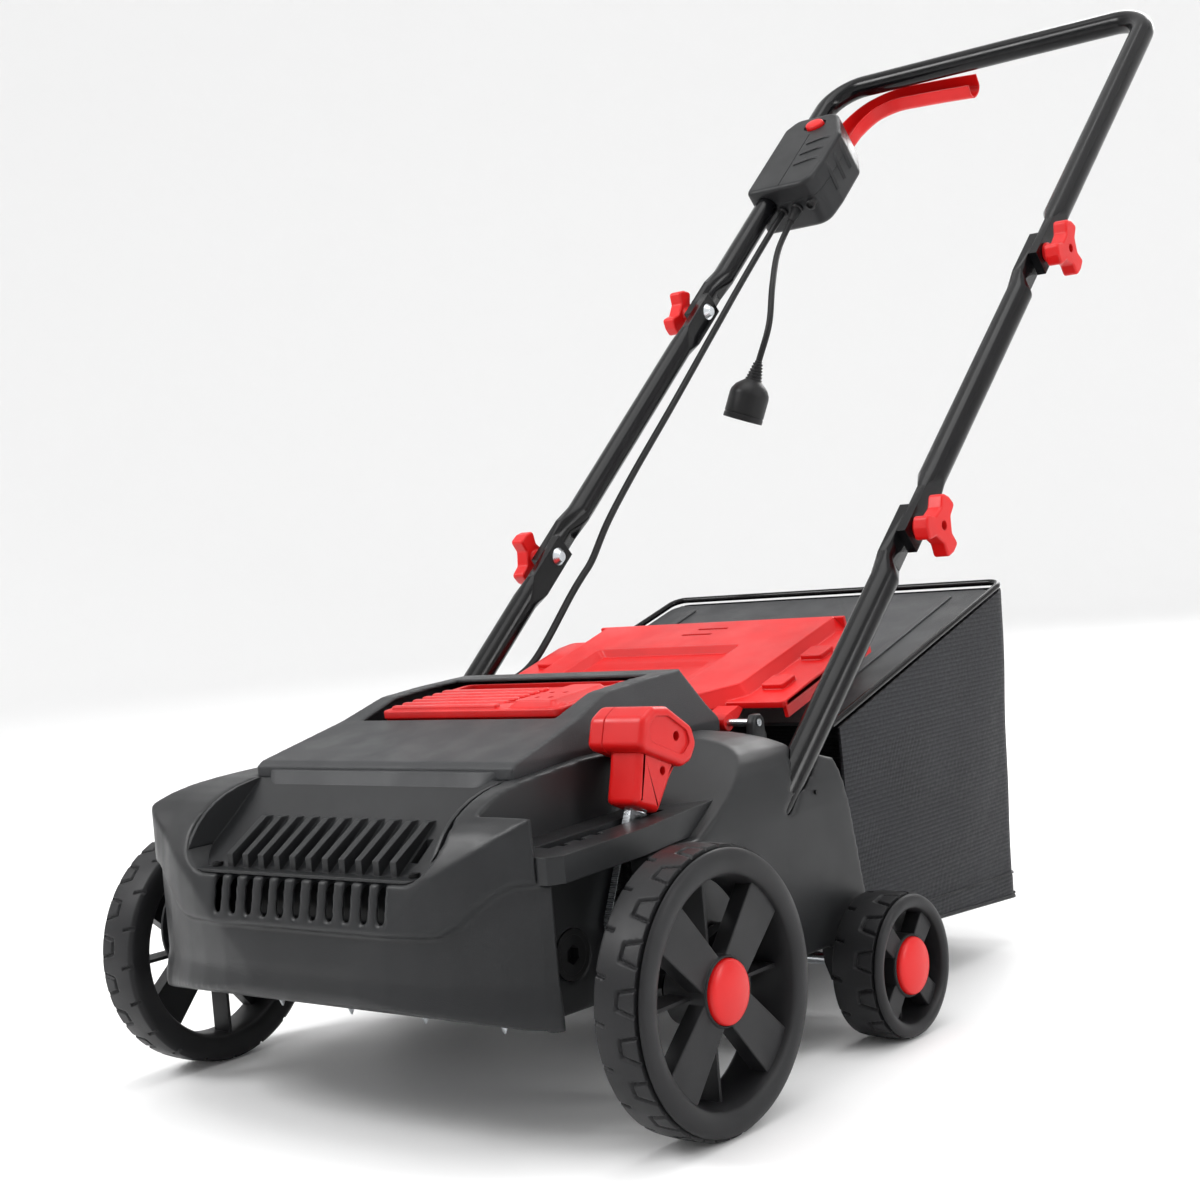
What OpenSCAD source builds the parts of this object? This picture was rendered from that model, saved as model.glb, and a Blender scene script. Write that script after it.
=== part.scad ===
// Electric lawn dethatcher: a two-axle deck with a spinning blade shaft, a crank-adjusted front
// axle, a folding tube handle with a switch box, and a rear catcher bag under a lifting flap.
// +Y points to the rear, +X to the operator's right, +Z up; the origin is on the ground.

/* [Deck] */
// half width of the deck at its side walls
deck_hw = 218; // [214:1:219]
// thickness of the deck's moulded wall
wall = 4; // [3:0.5:5]
// number of cooling slots across the nose
slot_count = 11; // [7:2:11]
// distance from one cooling slot to the next
slot_pitch = 17.3; // [16:0.1:17.5]

/* [Wheels] */
// radius of the front wheels
front_r = 100; // [96:1:102]
// radius of the rear wheels
rear_r = 57.5; // [55:0.5:58]
// half of the track between the outer faces of the front wheels
front_out = 283.2; // [282:0.2:286]
// half of the track between the outer faces of the rear wheels
rear_out = 271; // [270:0.5:274]
// distance from the front axle to the rear axle
wheelbase = 261.3; // [258:0.1:264]

/* [Rotor] */
// radius of the circle that the blade tips sweep
tip_r = 64; // [58:1:66]
// number of twin-arm blade plates on the shaft
blade_count = 8; // [6:1:9]

/* [Handle] */
// outside diameter of the handle tubes
tube_d = 25; // [24:0.1:25.2]
// wall of the handle tubes
tube_t = 1.5; // [1.2:0.1:2]
// angle of the handle above the ground
handle_tilt = 41.1; // [40:0.1:42]
// length of the handle from its sockets to the cross bar
handle_len = 1071; // [1060:1:1080]

/* [Bag] */
// half width of the catcher bag
bag_hw = 195; // [190:1:197]

/* [Hidden] */
$fn = 48;
// the front axle's place behind the middle of the machine's length
y_mid = 469.39;
rotor = [-36, 126];
crank = [72, 118];
lever = [8, 140];
motor = [100, 216];
rear = [wheelbase, rear_r];
hinge = [224, 255];
base = [229, 230.5];
tube_x = 203.6;
tube_r = tube_d / 2;
low_bolt_s = 255;
up_bolt_s = 641.5;
bolt_r = 4;
fit = 0.05;
lap = 30;
tongue_t = 8.7;
grey = [0.17, 0.175, 0.18];
black = [0.04, 0.04, 0.045];
red = [0.82, 0.09, 0.07];
zinc = [0.75, 0.78, 0.8];
steel = [0.6, 0.61, 0.62];

// the moulded shapes, as outlines: side (y, z), plan (x, y) and front (x, z)
side_out = concat([[281, 74], [283, 106]], soft([
  [262, 222], [226, 232], [200, 250], [172, 257], [60, 257], [-10, 252], [-58, 247], [-84, 239],
  [-104, 226], [-118, 208], [-127, 190], [-134, 153], [-138, 120], [-136, 104], [-118, 96], [-91, 87]
]));
plan_half = concat(
  soft([
    [0, -140], [70, -137], [128, -127], [168, -114], [195, -100], [211, -86], [deck_hw, -70],
    [deck_hw, -40]
  ]),
  [[deck_hw, 300]]
);
front_half = concat(
  [[deck_hw, 0]],
  soft([
    [deck_hw, 176], [deck_hw, 192], [deck_hw - 3, 212], [deck_hw - 11, 230], [deck_hw - 25, 243],
    [deck_hw - 47, 251], [140, 256], [0, 262]
  ])
);

function mirrored(h) = concat(
  h,
  [for (i = [len(h) - 1 : -1 : 0]) if (h[i].x > 0.001) [-h[i].x, h[i].y]]
);
function unit(v) = v / norm(v);
// an open outline with each of its inner corners cut once
function soft(p) = concat(
  [p[0]],
  [for (i = [0 : len(p) - 2], t = [0.25, 0.75]) p[i] + t * (p[i + 1] - p[i])],
  [p[len(p) - 1]]
);
// each corner of a counter-clockwise outline moved inwards by d
function inset(p, d) = [
  for (i = [0 : len(p) - 1])
    let (
      n = len(p),
      u = unit(p[i] - p[(i - 1 + n) % n]),
      v = unit(p[(i + 1) % n] - p[i]),
      nu = [-u.y, u.x],
      nv = [-v.y, v.x]
    )
    p[i] + (nu + nv) * d / (1 + nu * nv)
];
function arc(c, r, a0, a1, n) = [
  for (i = [0 : n]) let (a = a0 + (a1 - a0) * i / n) c + r * [cos(a), sin(a)]
];
// the point at distance s along the handle and n above it, as [y, z]
function on_handle(s, n) = base
  + s * [cos(handle_tilt), sin(handle_tilt)]
  + n * [-sin(handle_tilt), cos(handle_tilt)];

module place() translate([0, -y_mid, 0]) children();
module both_sides() {
  children();
  mirror([1, 0, 0]) children();
}
// a (y, z) outline drawn out along X from x0 to x1
module across(x0, x1) translate([x0, 0, 0]) rotate([90, 0, 90]) linear_extrude(height = x1 - x0) children();
// a rod along X from x0 to x1 about the point p = [y, z]
module rod(p, r, x0, x1) translate([x0, p.x, p.y]) rotate([0, 90, 0]) cylinder(h = x1 - x0, r = r);
module ring(p, ro, ri, x0, x1) difference() {
  rod(p, ro, x0, x1);
  rod(p, ri, x0 - 1, x1 + 1);
}
// frame of the handle: X across, Y along the tubes, Z square to them
module handle_frame() translate([0, base.x, base.y]) rotate([handle_tilt, 0, 0]) children();

// ---------------------------------------------------------------- deck
module deck_form(side, plan, front) intersection() {
  across(-300, 300) polygon(side);
  linear_extrude(height = 400) polygon(plan);
  translate([0, 400, 0]) rotate([90, 0, 0]) linear_extrude(height = 700) polygon(front);
}
// everything cut out of the deck's outside, grown by g
module deck_cuts(g) {
  // seat of the hood
  translate([-137 - g, -40 - g, 246 - g]) cube([274 + 2 * g, 254 + 2 * g, 60]);
  // oval mouth of the nose grille
  translate([0, -36 + g, 0]) rotate([90, 0, 0]) linear_extrude(height = 140) nose_mouth(g);
  tray_room(g);
  // lever side: well around the crank and the lever's foot
  translate([0, 0, -1]) linear_extrude(height = 201 + g)
    polygon([
      [176 - g, -86 - g], [300, -86 - g], [300, 5 + g], [200, 5 + g], [200, 48 + g], [176 - g, 48 + g]
    ]);
}
// lever side: tray recess with its raked rear face
module tray_room(g) intersection() {
  across(150 - g, 300) polygon([[-94 - g, 186 - g], [220, 196 - g], [220, 330], [-94 - g, 330]]);
  multmatrix([[1, 0, 0, 0], [0, 1, 1.95, -1.95 * 212], [0, 0, 1, 0], [0, 0, 0, 1]])
    linear_extrude(height = 400)
      polygon([[150 - g, -600], [300, -600], [300, 108 + 1.3 * g], [215, 108 + 1.3 * g], [150 - g, 62 + g]]);
}
module nose_mouth(g) {
  translate([0, 225.5]) square([204, 73 + 2 * g], center = true);
  for (s = [-1, 1]) {
    translate([s * 102, 220 ]) circle(r = 31 + g);
    translate([s * 112, 248]) square([40 + 2 * g, 40], center = true);
  }
}
function tunnel_band() = concat(
  arc(rotor, 76, 205, 38, 24),
  [[150, 176], [263, 201], [263, 197], [150, 172]],
  arc(rotor, 72, 36, 205, 24)
);
module deck_shell() color(grey) place() {
  side_in = inset(side_out, wall);
  hollow = concat([[-112, -1], [277, -1]], [for (i = [1 : len(side_in) - 2]) side_in[i]]);
  difference() {
    union() {
      difference() {
        deck_form(side_out, mirrored(plan_half), mirrored(front_half));
        difference() {
          deck_form(
            hollow,
            inset(mirrored(concat([for (i = [0 : len(plan_half) - 2]) plan_half[i]], [[deck_hw, 420]])), wall),
            inset(mirrored(concat([[deck_hw, -9]], [for (i = [1 : len(front_half) - 1]) front_half[i]])), wall)
          );
          deck_cuts(wall);
        }
      }
      // left cheek between the rotor and the belt
      across(-172, -168) polygon(concat(
        arc(rotor, 75, 205, 38, 24), [[150, 175], [262, 200], [278, 100], [277, 77], [-96, 92]]
      ));
      // sockets of the handle tubes
      intersection() {
        deck_form(side_out, mirrored(plan_half), mirrored(front_half));
        union() {
          both_sides() handle_frame() translate([tube_x, -74, 0]) rotate([-90, 0, 0]) cylinder(h = 84, r = 16);
          both_sides() across(188, 217) polygon([[150, 165], [215, 205], [262, 222], [240, 160]]);
        }
      }
      // bosses that carry the crank's bushes
      rod(crank, 14, deck_hw - 10, deck_hw);
      rod(crank, 14, -deck_hw, -deck_hw + 10);
      // seats of the blade shaft's bearings
      rod(rotor, 24, 168, 176);
      rod(rotor, 24, -172, -166);
      // boss under the cable's gland
      translate([-184, 250, 214]) cylinder(h = 18, r = 8);
      // lugs for the flap's rod
      for (x = [-164, -52, 52, 164])
        across(x - 4, x + 4) polygon([[214.5, 236], [236, 224], [232, 258], [228, 262], [219, 262], [214.5, 256]]);
    }
    deck_cuts(0);
    // open top under the hood
    translate([-126, -26, 200]) cube([252, 222, 60]);
    // cooling slots
    for (i = [0 : slot_count - 1])
      translate([(i - (slot_count - 1) / 2) * slot_pitch, -150, 0]) rotate([-90, 0, 0])
        translate([0, 0, 0]) mirror([0, 1, 0]) linear_extrude(height = 32) slot_shape();
    // mouth towards the bag
    translate([-178, 240, 96]) cube([356, 60, 100]);
    // bores
    both_sides() handle_frame() translate([tube_x, -70, 0]) rotate([-90, 0, 0]) cylinder(h = 120, r = tube_r + fit);
    rod(crank, 9 + fit, -300, 300);
    rod(rotor, 18 + fit, -180, -160);
    rod(rotor, 18 + fit, 160, 180);
    rod(hinge, 3 + fit, -180, 180);
    rod(motor, 10, -180, -160);
    // way to the rotor's pulley, closed by its cover
    rod(rotor, 37, -300, -200);
    // way in for the motor's cable
    translate([-184, 250, 200]) cylinder(h = 60, r = 5 + fit);
    // small holes of the screws that hold the handle tubes
    both_sides() rod([222, 200], 2, 216, 300);
    // room that the blades sweep
    rod(rotor, 74, -168, 168);
  }
  // wall over the blade shaft and the way back to the bag
  across(-170, 174) polygon(tunnel_band());
  // pin that the lever turns on
  rod(lever, 5, 173, 190);
}
module slot_shape() {
  translate([-3.2, 164]) square([6.4, 34]);
  translate([0, 164.3]) circle(r = 3.2, $fn = 24);
}
module hood() color(grey) place() {
  side = [
    [-38, 246.2], [213.6, 246.2], [213.6, 262], [206, 272], [190, 303], [134, 300], [90, 296],
    [48, 281], [-33, 260], [-38, 256]
  ];
  front = mirrored([[136.6, 200], [136.6, 259], [118, 304], [0, 312]]);
  difference() {
    intersection() {
      across(-140, 140) polygon(side);
      translate([0, 400, 0]) rotate([90, 0, 0]) linear_extrude(height = 700) polygon(front);
    }
    intersection() {
      across(-140, 140) polygon(concat([[-35, 200], [210.6, 200]], [for (i = [2 : 9]) inset(side, 3)[i]]));
      translate([0, 400, 0]) rotate([90, 0, 0]) linear_extrude(height = 700)
        polygon(inset(mirrored([[136.6, 150], [136.6, 259], [118, 304], [0, 312]]), 3));
    }
    // recess of the grip panel
    across(-104, 104) polygon([[50, 275], [166, 275], [166, 320], [50, 320]]);
  }
}
module front_grille() color(grey) place() {
  intersection() {
    translate([0, -36, 0]) rotate([90, 0, 0]) linear_extrude(height = 140) nose_mouth(-0.3);
    deck_form(inset(side_out, 0.5), mirrored(plan_half), mirrored(front_half));
    union() {
      difference() {
        across(-132, 132) polygon([
          [-124, 189.3], [-108, 189.3], [-72, 216], [-41, 243], [-41, 248], [-74, 221], [-112, 191.6],
          [-124, 191.6]
        ]);
        for (i = [0 : slot_count - 1])
          translate([(i - (slot_count - 1) / 2) * slot_pitch, 0, 0])
            across(5, 12) polygon([[-102, 180], [-84, 195], [-84, 240], [-102, 240]]);
        for (s = [-1, 1]) {
          translate([s * 104, -112, 150]) cylinder(h = 60, r = 2.2);
          translate([s * 104, -112, 191.7]) cylinder(h = 20, r = 4.3);
        }
      }
      for (i = [0 : slot_count - 1])
        translate([(i - (slot_count - 1) / 2) * slot_pitch, 0, 0])
          across(-3, 3) polygon([[-114, 189.4], [-114, 202], [-78, 224], [-70, 224], [-70, 219]]);
      // end walls of the recess
      for (s = [-1, 1]) difference() {
        translate([s > 0 ? 128.5 : -131.5, -140, 189.4]) cube([3, 99, 60]);
        rod(rotor, 76.5, -140, 140);
      }
    }
  }
}
module carry_grip() color(red) place() {
  // ribbed panel over the hood's recess
  difference() {
    across(-103.5, 103.5) polygon([
      [50.5, 276], [60, 279], [150, 279], [165.5, 288], [165.5, 297], [90, 292.5], [50.5, 280]
    ]);
    across(-83.5, 83.5) polygon([[138, 270], [157, 270], [157, 310], [138, 310]]);
    across(-100, 100) polygon([[66, 260], [136, 260], [136, 288], [92, 288], [66, 282]]);
  }
  for (i = [0 : 4])
    across(-80, 80) polygon([
      [84 + 11 * i, 291], [90 + 11 * i, 291], [90 + 11 * i, 294.8], [84 + 11 * i, 294.6]
    ]);
}
module lever_tray() color(grey) place() difference() {
  intersection() {
    tray_room(-0.3);
    across(150.3, 260) polygon([[-93.5, 187], [-93.5, 205.5], [106, 213], [101, 193.2]]);
    linear_extrude(height = 300)
      polygon([[150, -95], [208, -95], [deck_hw - 1, -84], [deck_hw - 1, 0], [205, 104], [150.3, 64]]);
  }
  // clear of the wall over the blade shaft
  rod(rotor, 76.4, 140, 174.4);
  // slot of the lever, with its notches
  translate([175, -66, 100]) cube([14, 130, 200]);
  for (y = [-58, -40, -22]) translate([188, y, 204]) cube([7, 8, 20]);
}
module screw(p, r, h) translate(p) difference() {
  cylinder(h = h, r = r);
  translate([0, 0, h - 1.2]) cylinder(h = 2, r = r * 0.45, $fn = 6);
}
module deck_screws() color(steel) place() {
  for (s = [-1, 1]) {
    // screws of the grille
    screw([s * 104, -112, 191.8], 4, 3);
    // screws that hold the handle tubes
    mirror([s < 0 ? 1 : 0, 0, 0]) rod([222, 200], 1.9, 216.2, 218.4);
  }
}
module bearing_blocks() color(black) place() {
  ring(rotor, 18, 14 + fit, 166, 176);
  ring(rotor, 18, 12 + fit, -173, -166);
}
module motor_can() color(steel) place() {
  difference() {
    rod(motor, 38, -110, 62);
    rod(motor, 33, -104, 56);
    rod(motor, 6 + fit, -120, 80);
    for (a = [0 : 60 : 300]) translate([0, motor.x, motor.y]) rotate([a, 0, 0])
      translate([60, 22, 0]) cube([14, 8, 12], center = true);
  }
}
module motor_mounts() color(steel) place() {
  for (x = [-92, 36]) difference() {
    across(x, x + 10) polygon([[58, 176.1], [142, 176.1], [144, 212], [56, 212]]);
    rod(motor, 38 + fit, x - 1, x + 11);
  }
}
module belt_cover() color(grey) place() difference() {
  union() {
    rod(rotor, 46, -deck_hw - 2.4, -deck_hw - 0.2);
    rod(rotor, 36.8, -deck_hw - 0.3, -deck_hw + 3);
  }
  rod(rotor, 33, -deck_hw - 0.5, -deck_hw + 4);
  for (a = [45 : 90 : 315]) rod(rotor + 41.5 * [cos(a), sin(a)], 2, -deck_hw - 4, -deck_hw + 1);
}
module drive_belt() color(black) place() difference() {
  across(-187.5, -176.5) polygon(belt_run(33.2, 16.2));
  across(-189, -175) polygon(belt_run(30.1, 13.1));
}
function belt_run(r1, r2) = let (
    v = motor - rotor,
    a = atan2(v.y, v.x),
    b = acos((r1 - r2) / norm(v))
  ) concat(
    arc(rotor, r1, a + b, a + 360 - b, 40),
    arc(motor, r2, a - b, a + b, 24)
  );
module crank_bushes() color(black) place() {
  for (x = [-deck_hw, deck_hw - 10]) ring(crank, 9, 6 + fit, x, x + 10);
}
module rear_brackets() color(grey) place() both_sides() difference() {
  across(200, deck_hw - wall - 0.1) polygon([[232, 112], [240, 60], [248, 44], [272, 44], [276, 60], [276, 90], [262, 112]]);
  rod(rear, 5 + fit, 190, 230);
}
module rear_axle() color(zinc) place() rod(rear, 5, -267, 267);
module flap_rod() color(zinc) place() rod(hinge, 3, -168, 168);

// ---------------------------------------------------------------- rotor
module rotor_shaft() color(zinc) place() difference() {
  rod(rotor, 12, -192, 158);
  rod(rotor, 9.5, -150, 150);
}
// one twin-arm plate: bent tips, pointed ends
module blade() {
  difference() {
    union() {
      for (a = [0, 180]) rotate([a, 0, 0])
        across(-1, 1) polygon([
          [-14, 0], [-17, 30], [-24, 44], [-6, 50], [4, tip_r], [11, 44], [16, 26], [14, 0]
        ]);
      for (a = [0, 180], s = [-1, 1]) rotate([a, 0, 0]) translate([0, s * 15, 30])
        rotate([0, 0, s * 40]) translate([-1, -9, -8]) cube([2, 18, 16]);
    }
    rotate([0, 90, 0]) cylinder(h = 60, r = 12.05, center = true);
  }
}
module rotor_blades() color(zinc) place() translate([0, rotor.x, rotor.y])
  for (i = [0 : blade_count - 1])
    translate([-140 + i * 280 / (blade_count - 1), 0, 0]) rotate([i % 2 == 0 ? 8 : 98, 0, 0]) blade();
module rotor_hub() color(steel) place() difference() {
  union() {
    rod(rotor, 14, 158.1, 176);
    rod(rotor, 15.5, 158.1, 165);
  }
  translate([168, rotor.x, rotor.y]) rotate([0, 90, 0]) cylinder(h = 10, r = 7, $fn = 6);
}
module rotor_pulley() color(black) place() difference() {
  union() {
    rod(rotor, 30, -188, -176);
    rod(rotor, 34, -190, -188);
    rod(rotor, 34, -176, -174.2);
  }
  rod(rotor, 12.02, -200, -170);
  for (a = [0 : 60 : 300]) rod(rotor + 21 * [cos(a), sin(a)], 5, -192, -172);
}

// ---------------------------------------------------------------- motor's turning parts
module motor_shaft() color(steel) place() {
  rod(motor, 6, -192, 90);
  rod(motor, 26, -90, 40);
  rod(motor, 13, -188, -176);
  rod(motor, 16.8, -190, -188);
  rod(motor, 16.8, -176, -174);
}
module motor_fan() color(black) place() difference() {
  union() {
    rod(motor, 12, 68, 86);
    rod(motor, 34, 68, 70);
    for (a = [0 : 40 : 320]) translate([0, motor.x, motor.y]) rotate([a, 0, 0])
      translate([69, 10, -1]) cube([16, 23, 2]);
  }
  rod(motor, 6.02, 60, 100);
}

// ---------------------------------------------------------------- front axle and lever
module crank_axle() color(zinc) place() {
  rod(crank, 6, -232, 232);
  both_sides() {
    across(221.5, 231.5) polygon(concat(
      arc(crank, 11, -65, 105, 12), arc([0, front_r], 11, 105, 295, 12)
    ));
    rod([0, front_r], 6, 221.5, 279);
  }
}
// frame of the lever, upright along its arm
module lever_frame() translate([0, lever.x, lever.y]) rotate([-22.6, 0, 0]) children();
module lever_arm() color(zinc) place() difference() {
  lever_frame() across(179, 185) polygon(concat(arc([0, 0], 12, 180, 360, 16), [[8, 110], [-8, 110]]));
  rod(lever, 5 + fit, 170, 200);
}
module lever_grip() color(red) place() lever_frame() difference() {
  union() {
    // stem
    across(166, 197) polygon([[-20, 93], [17, 93], [23, 120], [25, 132], [-24, 132], [-23, 110]]);
    // cross head
    translate([0, 2, 138]) rotate([8, 0, 0]) across(151, 203) polygon([
      [-33, -10], [-28, -17], [22, -18], [32, -10], [33, 4], [24, 15], [-8, 19], [-26, 14], [-34, 4]
    ]);
  }
  across(178.9, 185.1) polygon([[-9.3, 80], [9.3, 80], [8.15, 110.1], [-8.15, 110.1]]);
  rod([6, 140], 3.4, 198, 210);
  rod([6, 114], 3, 191, 210);
}
module lever_spring() color(zinc) place() lever_frame()
  translate([187, 0, 66]) cylinder(h = 26.8, r = 1.2, $fn = 16);

// ---------------------------------------------------------------- wheels
module wheel(r, w, hub_r, spokes, spoke_w, rim) {
  difference() {
    union() {
      rotate_extrude($fn = 96) polygon([
        [r - rim, 4], [r - rim, w - 2], [r - rim + 3, w], [r - 5, w], [r, w - 5], [r, 5], [r - 5, 0],
        [r - rim + 6, 0]
      ]);
      cylinder(h = w, r = hub_r);
      for (i = [0 : spokes - 1]) rotate([0, 0, 45 + i * 360 / spokes])
        translate([0, -spoke_w / 2, w - 16]) cube([r - rim + 3, spoke_w, 10]);
      translate([0, 0, 3]) difference() {
        cylinder(h = 3, r = r - rim + 3);
        cylinder(h = 8, r = r * 0.55, center = true);
      }
      for (i = [0 : spokes - 1]) rotate([0, 0, 45 + i * 360 / spokes])
        translate([0, -2, 3]) cube([r - rim + 3, 4, w - 12]);
    }
    translate([0, 0, w - 4]) cylinder(h = 5, r = 22.9);
  }
}
module front_wheel() translate([front_out - 42.1, 0, front_r]) rotate([0, 90, 0]) difference() {
  wheel(front_r, 42.1, 25, 4, 30, 22);
  translate([0, 0, -1]) cylinder(h = 80, r = 6 + fit);
}
module front_cap() rod([0, front_r], 22.8, front_out - 3.9, front_out + 2);
module rear_wheel() translate([rear_out - 44, rear.x, rear.y]) rotate([0, 90, 0]) difference() {
  wheel(rear_r, 44, 25, 4, 17, 15);
  translate([0, 0, -1]) cylinder(h = 80, r = 5 + fit);
}
module rear_cap() rod(rear, 22.8, rear_out - 3.9, rear_out + 2);
module wheel_front_right() color(black) place() front_wheel();
module wheel_front_left() color(black) place() mirror([1, 0, 0]) front_wheel();
module wheel_rear_right() color(black) place() rear_wheel();
module wheel_rear_left() color(black) place() mirror([1, 0, 0]) rear_wheel();
module cap_front_right() color(red) place() front_cap();
module cap_front_left() color(red) place() mirror([1, 0, 0]) front_cap();
module cap_rear_right() color(red) place() rear_cap();
module cap_rear_left() color(red) place() mirror([1, 0, 0]) rear_cap();

// ---------------------------------------------------------------- rear flap and bag
module rear_flap() color(red) place() difference() {
  union() {
    // raised middle
    across(-138, 138) polygon([
      [236, 258], [410, 310], [410, 290], [414, 290], [414, 318], [236, 266]
    ]);
    // low wings
    both_sides() across(137, 176) polygon([
      [243, 250], [404, 296], [404, 282], [408, 282], [408, 302], [243, 256]
    ]);
    both_sides() across(137, 141) polygon([[243, 250], [400, 295], [412, 317], [243, 266]]);
    // knuckles on the rod
    for (x = [-138, -40, 18, 116]) {
      rod(hinge, 7, x, x + 22);
      across(x, x + 22) polygon([[224, 248.5], [244, 258], [244, 266], [224, 262]]);
    }
  }
  rod(hinge, 3 + fit, -200, 200);
  // stepped recess in the middle
  across(-80, 74) polygon([[262, 272], [350, 297.5], [350, 330], [262, 330]]);
}
bag_side = [[300, 64], [594, 44], [612, 334], [300, 240]];
module bag_cloth() color(black) place() difference() {
  across(-bag_hw, bag_hw) polygon(bag_side);
  across(-bag_hw + 2, bag_hw - 2) polygon([[290, 66.8], [591.9, 46.2], [609.6, 331], [290, 235]]);
}
module bag_frame() color(black) place() translate([0, 290, 243.8]) rotate([16.78, 0, 0]) {
  // wire hoop around the top, its front ends left open as hooks
  wx = bag_hw - 3;
  both_sides() {
    translate([wx, 0, 0]) rotate([-90, 0, 0]) cylinder(h = 316, r = 3, $fn = 24);
    translate([wx - 14, 316, 0]) rotate_extrude(angle = 90) translate([14, 0]) circle(r = 3, $fn = 24);
  }
  translate([-wx + 14, 330, 0]) rotate([0, 90, 0]) cylinder(h = 2 * wx - 28, r = 3, $fn = 24);
}
module bag_panel() color(grey) place()
  across(-bag_hw + 8, bag_hw - 8) polygon([[302, 242], [598, 331.2], [598, 333.7], [302, 244.5]]);
module bag_loop() color(black) place() translate([0, 470, 298]) rotate([16.78, 0, 0])
  translate([0, 0, -2.5]) rotate([90, 0, 0]) difference() {
    rotate_extrude(angle = 180) translate([24, 0]) circle(r = 4, $fn = 24);
  }

// ---------------------------------------------------------------- handle
module tube(x, s0, s1) translate([x, s0, 0]) rotate([-90, 0, 0]) difference() {
  cylinder(h = s1 - s0, r = tube_r);
  translate([0, 0, -1]) cylinder(h = s1 - s0 + 2, r = tube_r - tube_t);
}
// pressed end of a tube: d = 1 ends upwards, inner half; d = -1 ends downwards, outer half
module tongue(s, d) {
  x0 = d > 0 ? tube_x - 0.1 - tongue_t : tube_x + 0.1;
  difference() {
    union() {
      translate([x0, s, 0]) rotate([0, 90, 0]) cylinder(h = tongue_t, r = 13.2);
      translate([x0, d > 0 ? s - 40 : s, -13.2]) cube([tongue_t, 40, 26.4]);
      translate([x0, d > 0 ? s : s - lap + 13.2, -13.2]) cube([tongue_t, lap - 13.2, 26.4]);
      hull() {
        translate([x0, s - d * 40 - 0.5, -13.2]) cube([tongue_t, 1, 26.4]);
        translate([tube_x, s - d * 62, 0]) rotate([90, 0, 0]) cylinder(h = 1, r = tube_r, center = true, $fn = 32);
      }
    }
    translate([x0 - 1, s, 0]) rotate([0, 90, 0]) cylinder(h = tongue_t + 2, r = bolt_r + fit);
  }
}
module lower_tubes() color(black) place() handle_frame() both_sides() {
  tube(tube_x, -68, low_bolt_s - 62);
  tongue(low_bolt_s, 1);
}
module mid_tubes() color(black) place() handle_frame() both_sides() {
  tongue(low_bolt_s, -1);
  tube(tube_x, low_bolt_s + 62, up_bolt_s - 62);
  tongue(up_bolt_s, 1);
}
module bolts(s) both_sides() translate([0, s, 0]) rotate([0, 90, 0]) {
  translate([0, 0, tube_x - tongue_t - 3]) cylinder(h = 40, r = bolt_r);
  translate([0, 0, tube_x - tongue_t - 0.15 - 5]) cylinder(h = 5, r1 = 5, r2 = 9);
}
module lower_bolts() color(zinc) place() handle_frame() bolts(low_bolt_s);
module upper_bolts() color(zinc) place() handle_frame() bolts(up_bolt_s);
module handle_bar() color(black) place() handle_frame() {
  bend = 42;
  both_sides() {
    tongue(up_bolt_s, -1);
    tube(tube_x, up_bolt_s + 62, handle_len - bend);
    translate([tube_x - bend, handle_len - bend, 0]) rotate_extrude(angle = 90, $fn = 96)
      translate([bend, 0]) difference() {
        circle(r = tube_r, $fn = 48);
        circle(r = tube_r - tube_t, $fn = 48);
      }
  }
  translate([-tube_x + bend, handle_len, 0]) rotate([0, 90, 0]) difference() {
    cylinder(h = 2 * (tube_x - bend), r = tube_r);
    translate([0, 0, -1]) cylinder(h = 2 * (tube_x - bend) + 2, r = tube_r - tube_t);
  }
}
knob_x = tube_x + 0.1 + tongue_t + 0.2;
module knob() handle_frame() translate([knob_x, 0, 0]) rotate([0, 90, 0]) difference() {
  union() {
    cylinder(h = 12, r1 = 9, r2 = 8);
    translate([0, 0, 11]) linear_extrude(height = 15)
      polygon([for (a = [0 : 6 : 354]) (20 + 7 * cos(3 * a)) * [cos(a), sin(a)]]);
  }
  translate([0, 0, -1]) cylinder(h = 40, r = bolt_r + fit);
}
module knob_at(s) translate([0, s * cos(handle_tilt), s * sin(handle_tilt)]) knob();
module knob_lower_right() color(red) place() knob_at(low_bolt_s);
module knob_lower_left() color(red) place() mirror([1, 0, 0]) knob_at(low_bolt_s);
module knob_upper_right() color(red) place() knob_at(up_bolt_s);
module knob_upper_left() color(red) place() mirror([1, 0, 0]) knob_at(up_bolt_s);

// ---------------------------------------------------------------- switch box
box_x0 = -224;
box_x1 = -132;
box_s0 = 838;
box_s1 = 985;
module box_outline() {
  polygon([
    [box_x0, box_s0 + 6], [box_x0 + 6, box_s0], [box_x1 - 18, box_s0], [box_x1 - 2, box_s0 + 16],
    [box_x1, box_s0 + 100], [box_x1 - 22, box_s1 - 6], [box_x1 - 34, box_s1], [box_x0 + 14, box_s1],
    [box_x0, box_s1 - 16]
  ]);
}
module box_room() {
  // channel of the tube
  translate([-tube_x, box_s0 - 5, 0]) rotate([-90, 0, 0]) cylinder(h = 200, r = tube_r + fit);
  // inside space, bail slot and entries
  translate([-186, box_s0 + 5, -32]) cube([46, 88, 48]);
  translate([-186, box_s0 + 90, -38]) cube([30, 42, 54]);
  translate([-185, box_s1 - 32, -38.2]) cube([28, 60, 27]);
  translate([-166, box_s0 - 5, -10]) rotate([-90, 0, 0]) cylinder(h = 20, r = 4.5 + fit);
  translate([-186, box_s0 - 5, -11]) rotate([-90, 0, 0]) cylinder(h = 20, r = 3.6 + fit);
}
module switch_base() color(grey) place() handle_frame() difference() {
  translate([0, 0, -40]) linear_extrude(height = 39.9) box_outline();
  box_room();
}
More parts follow.
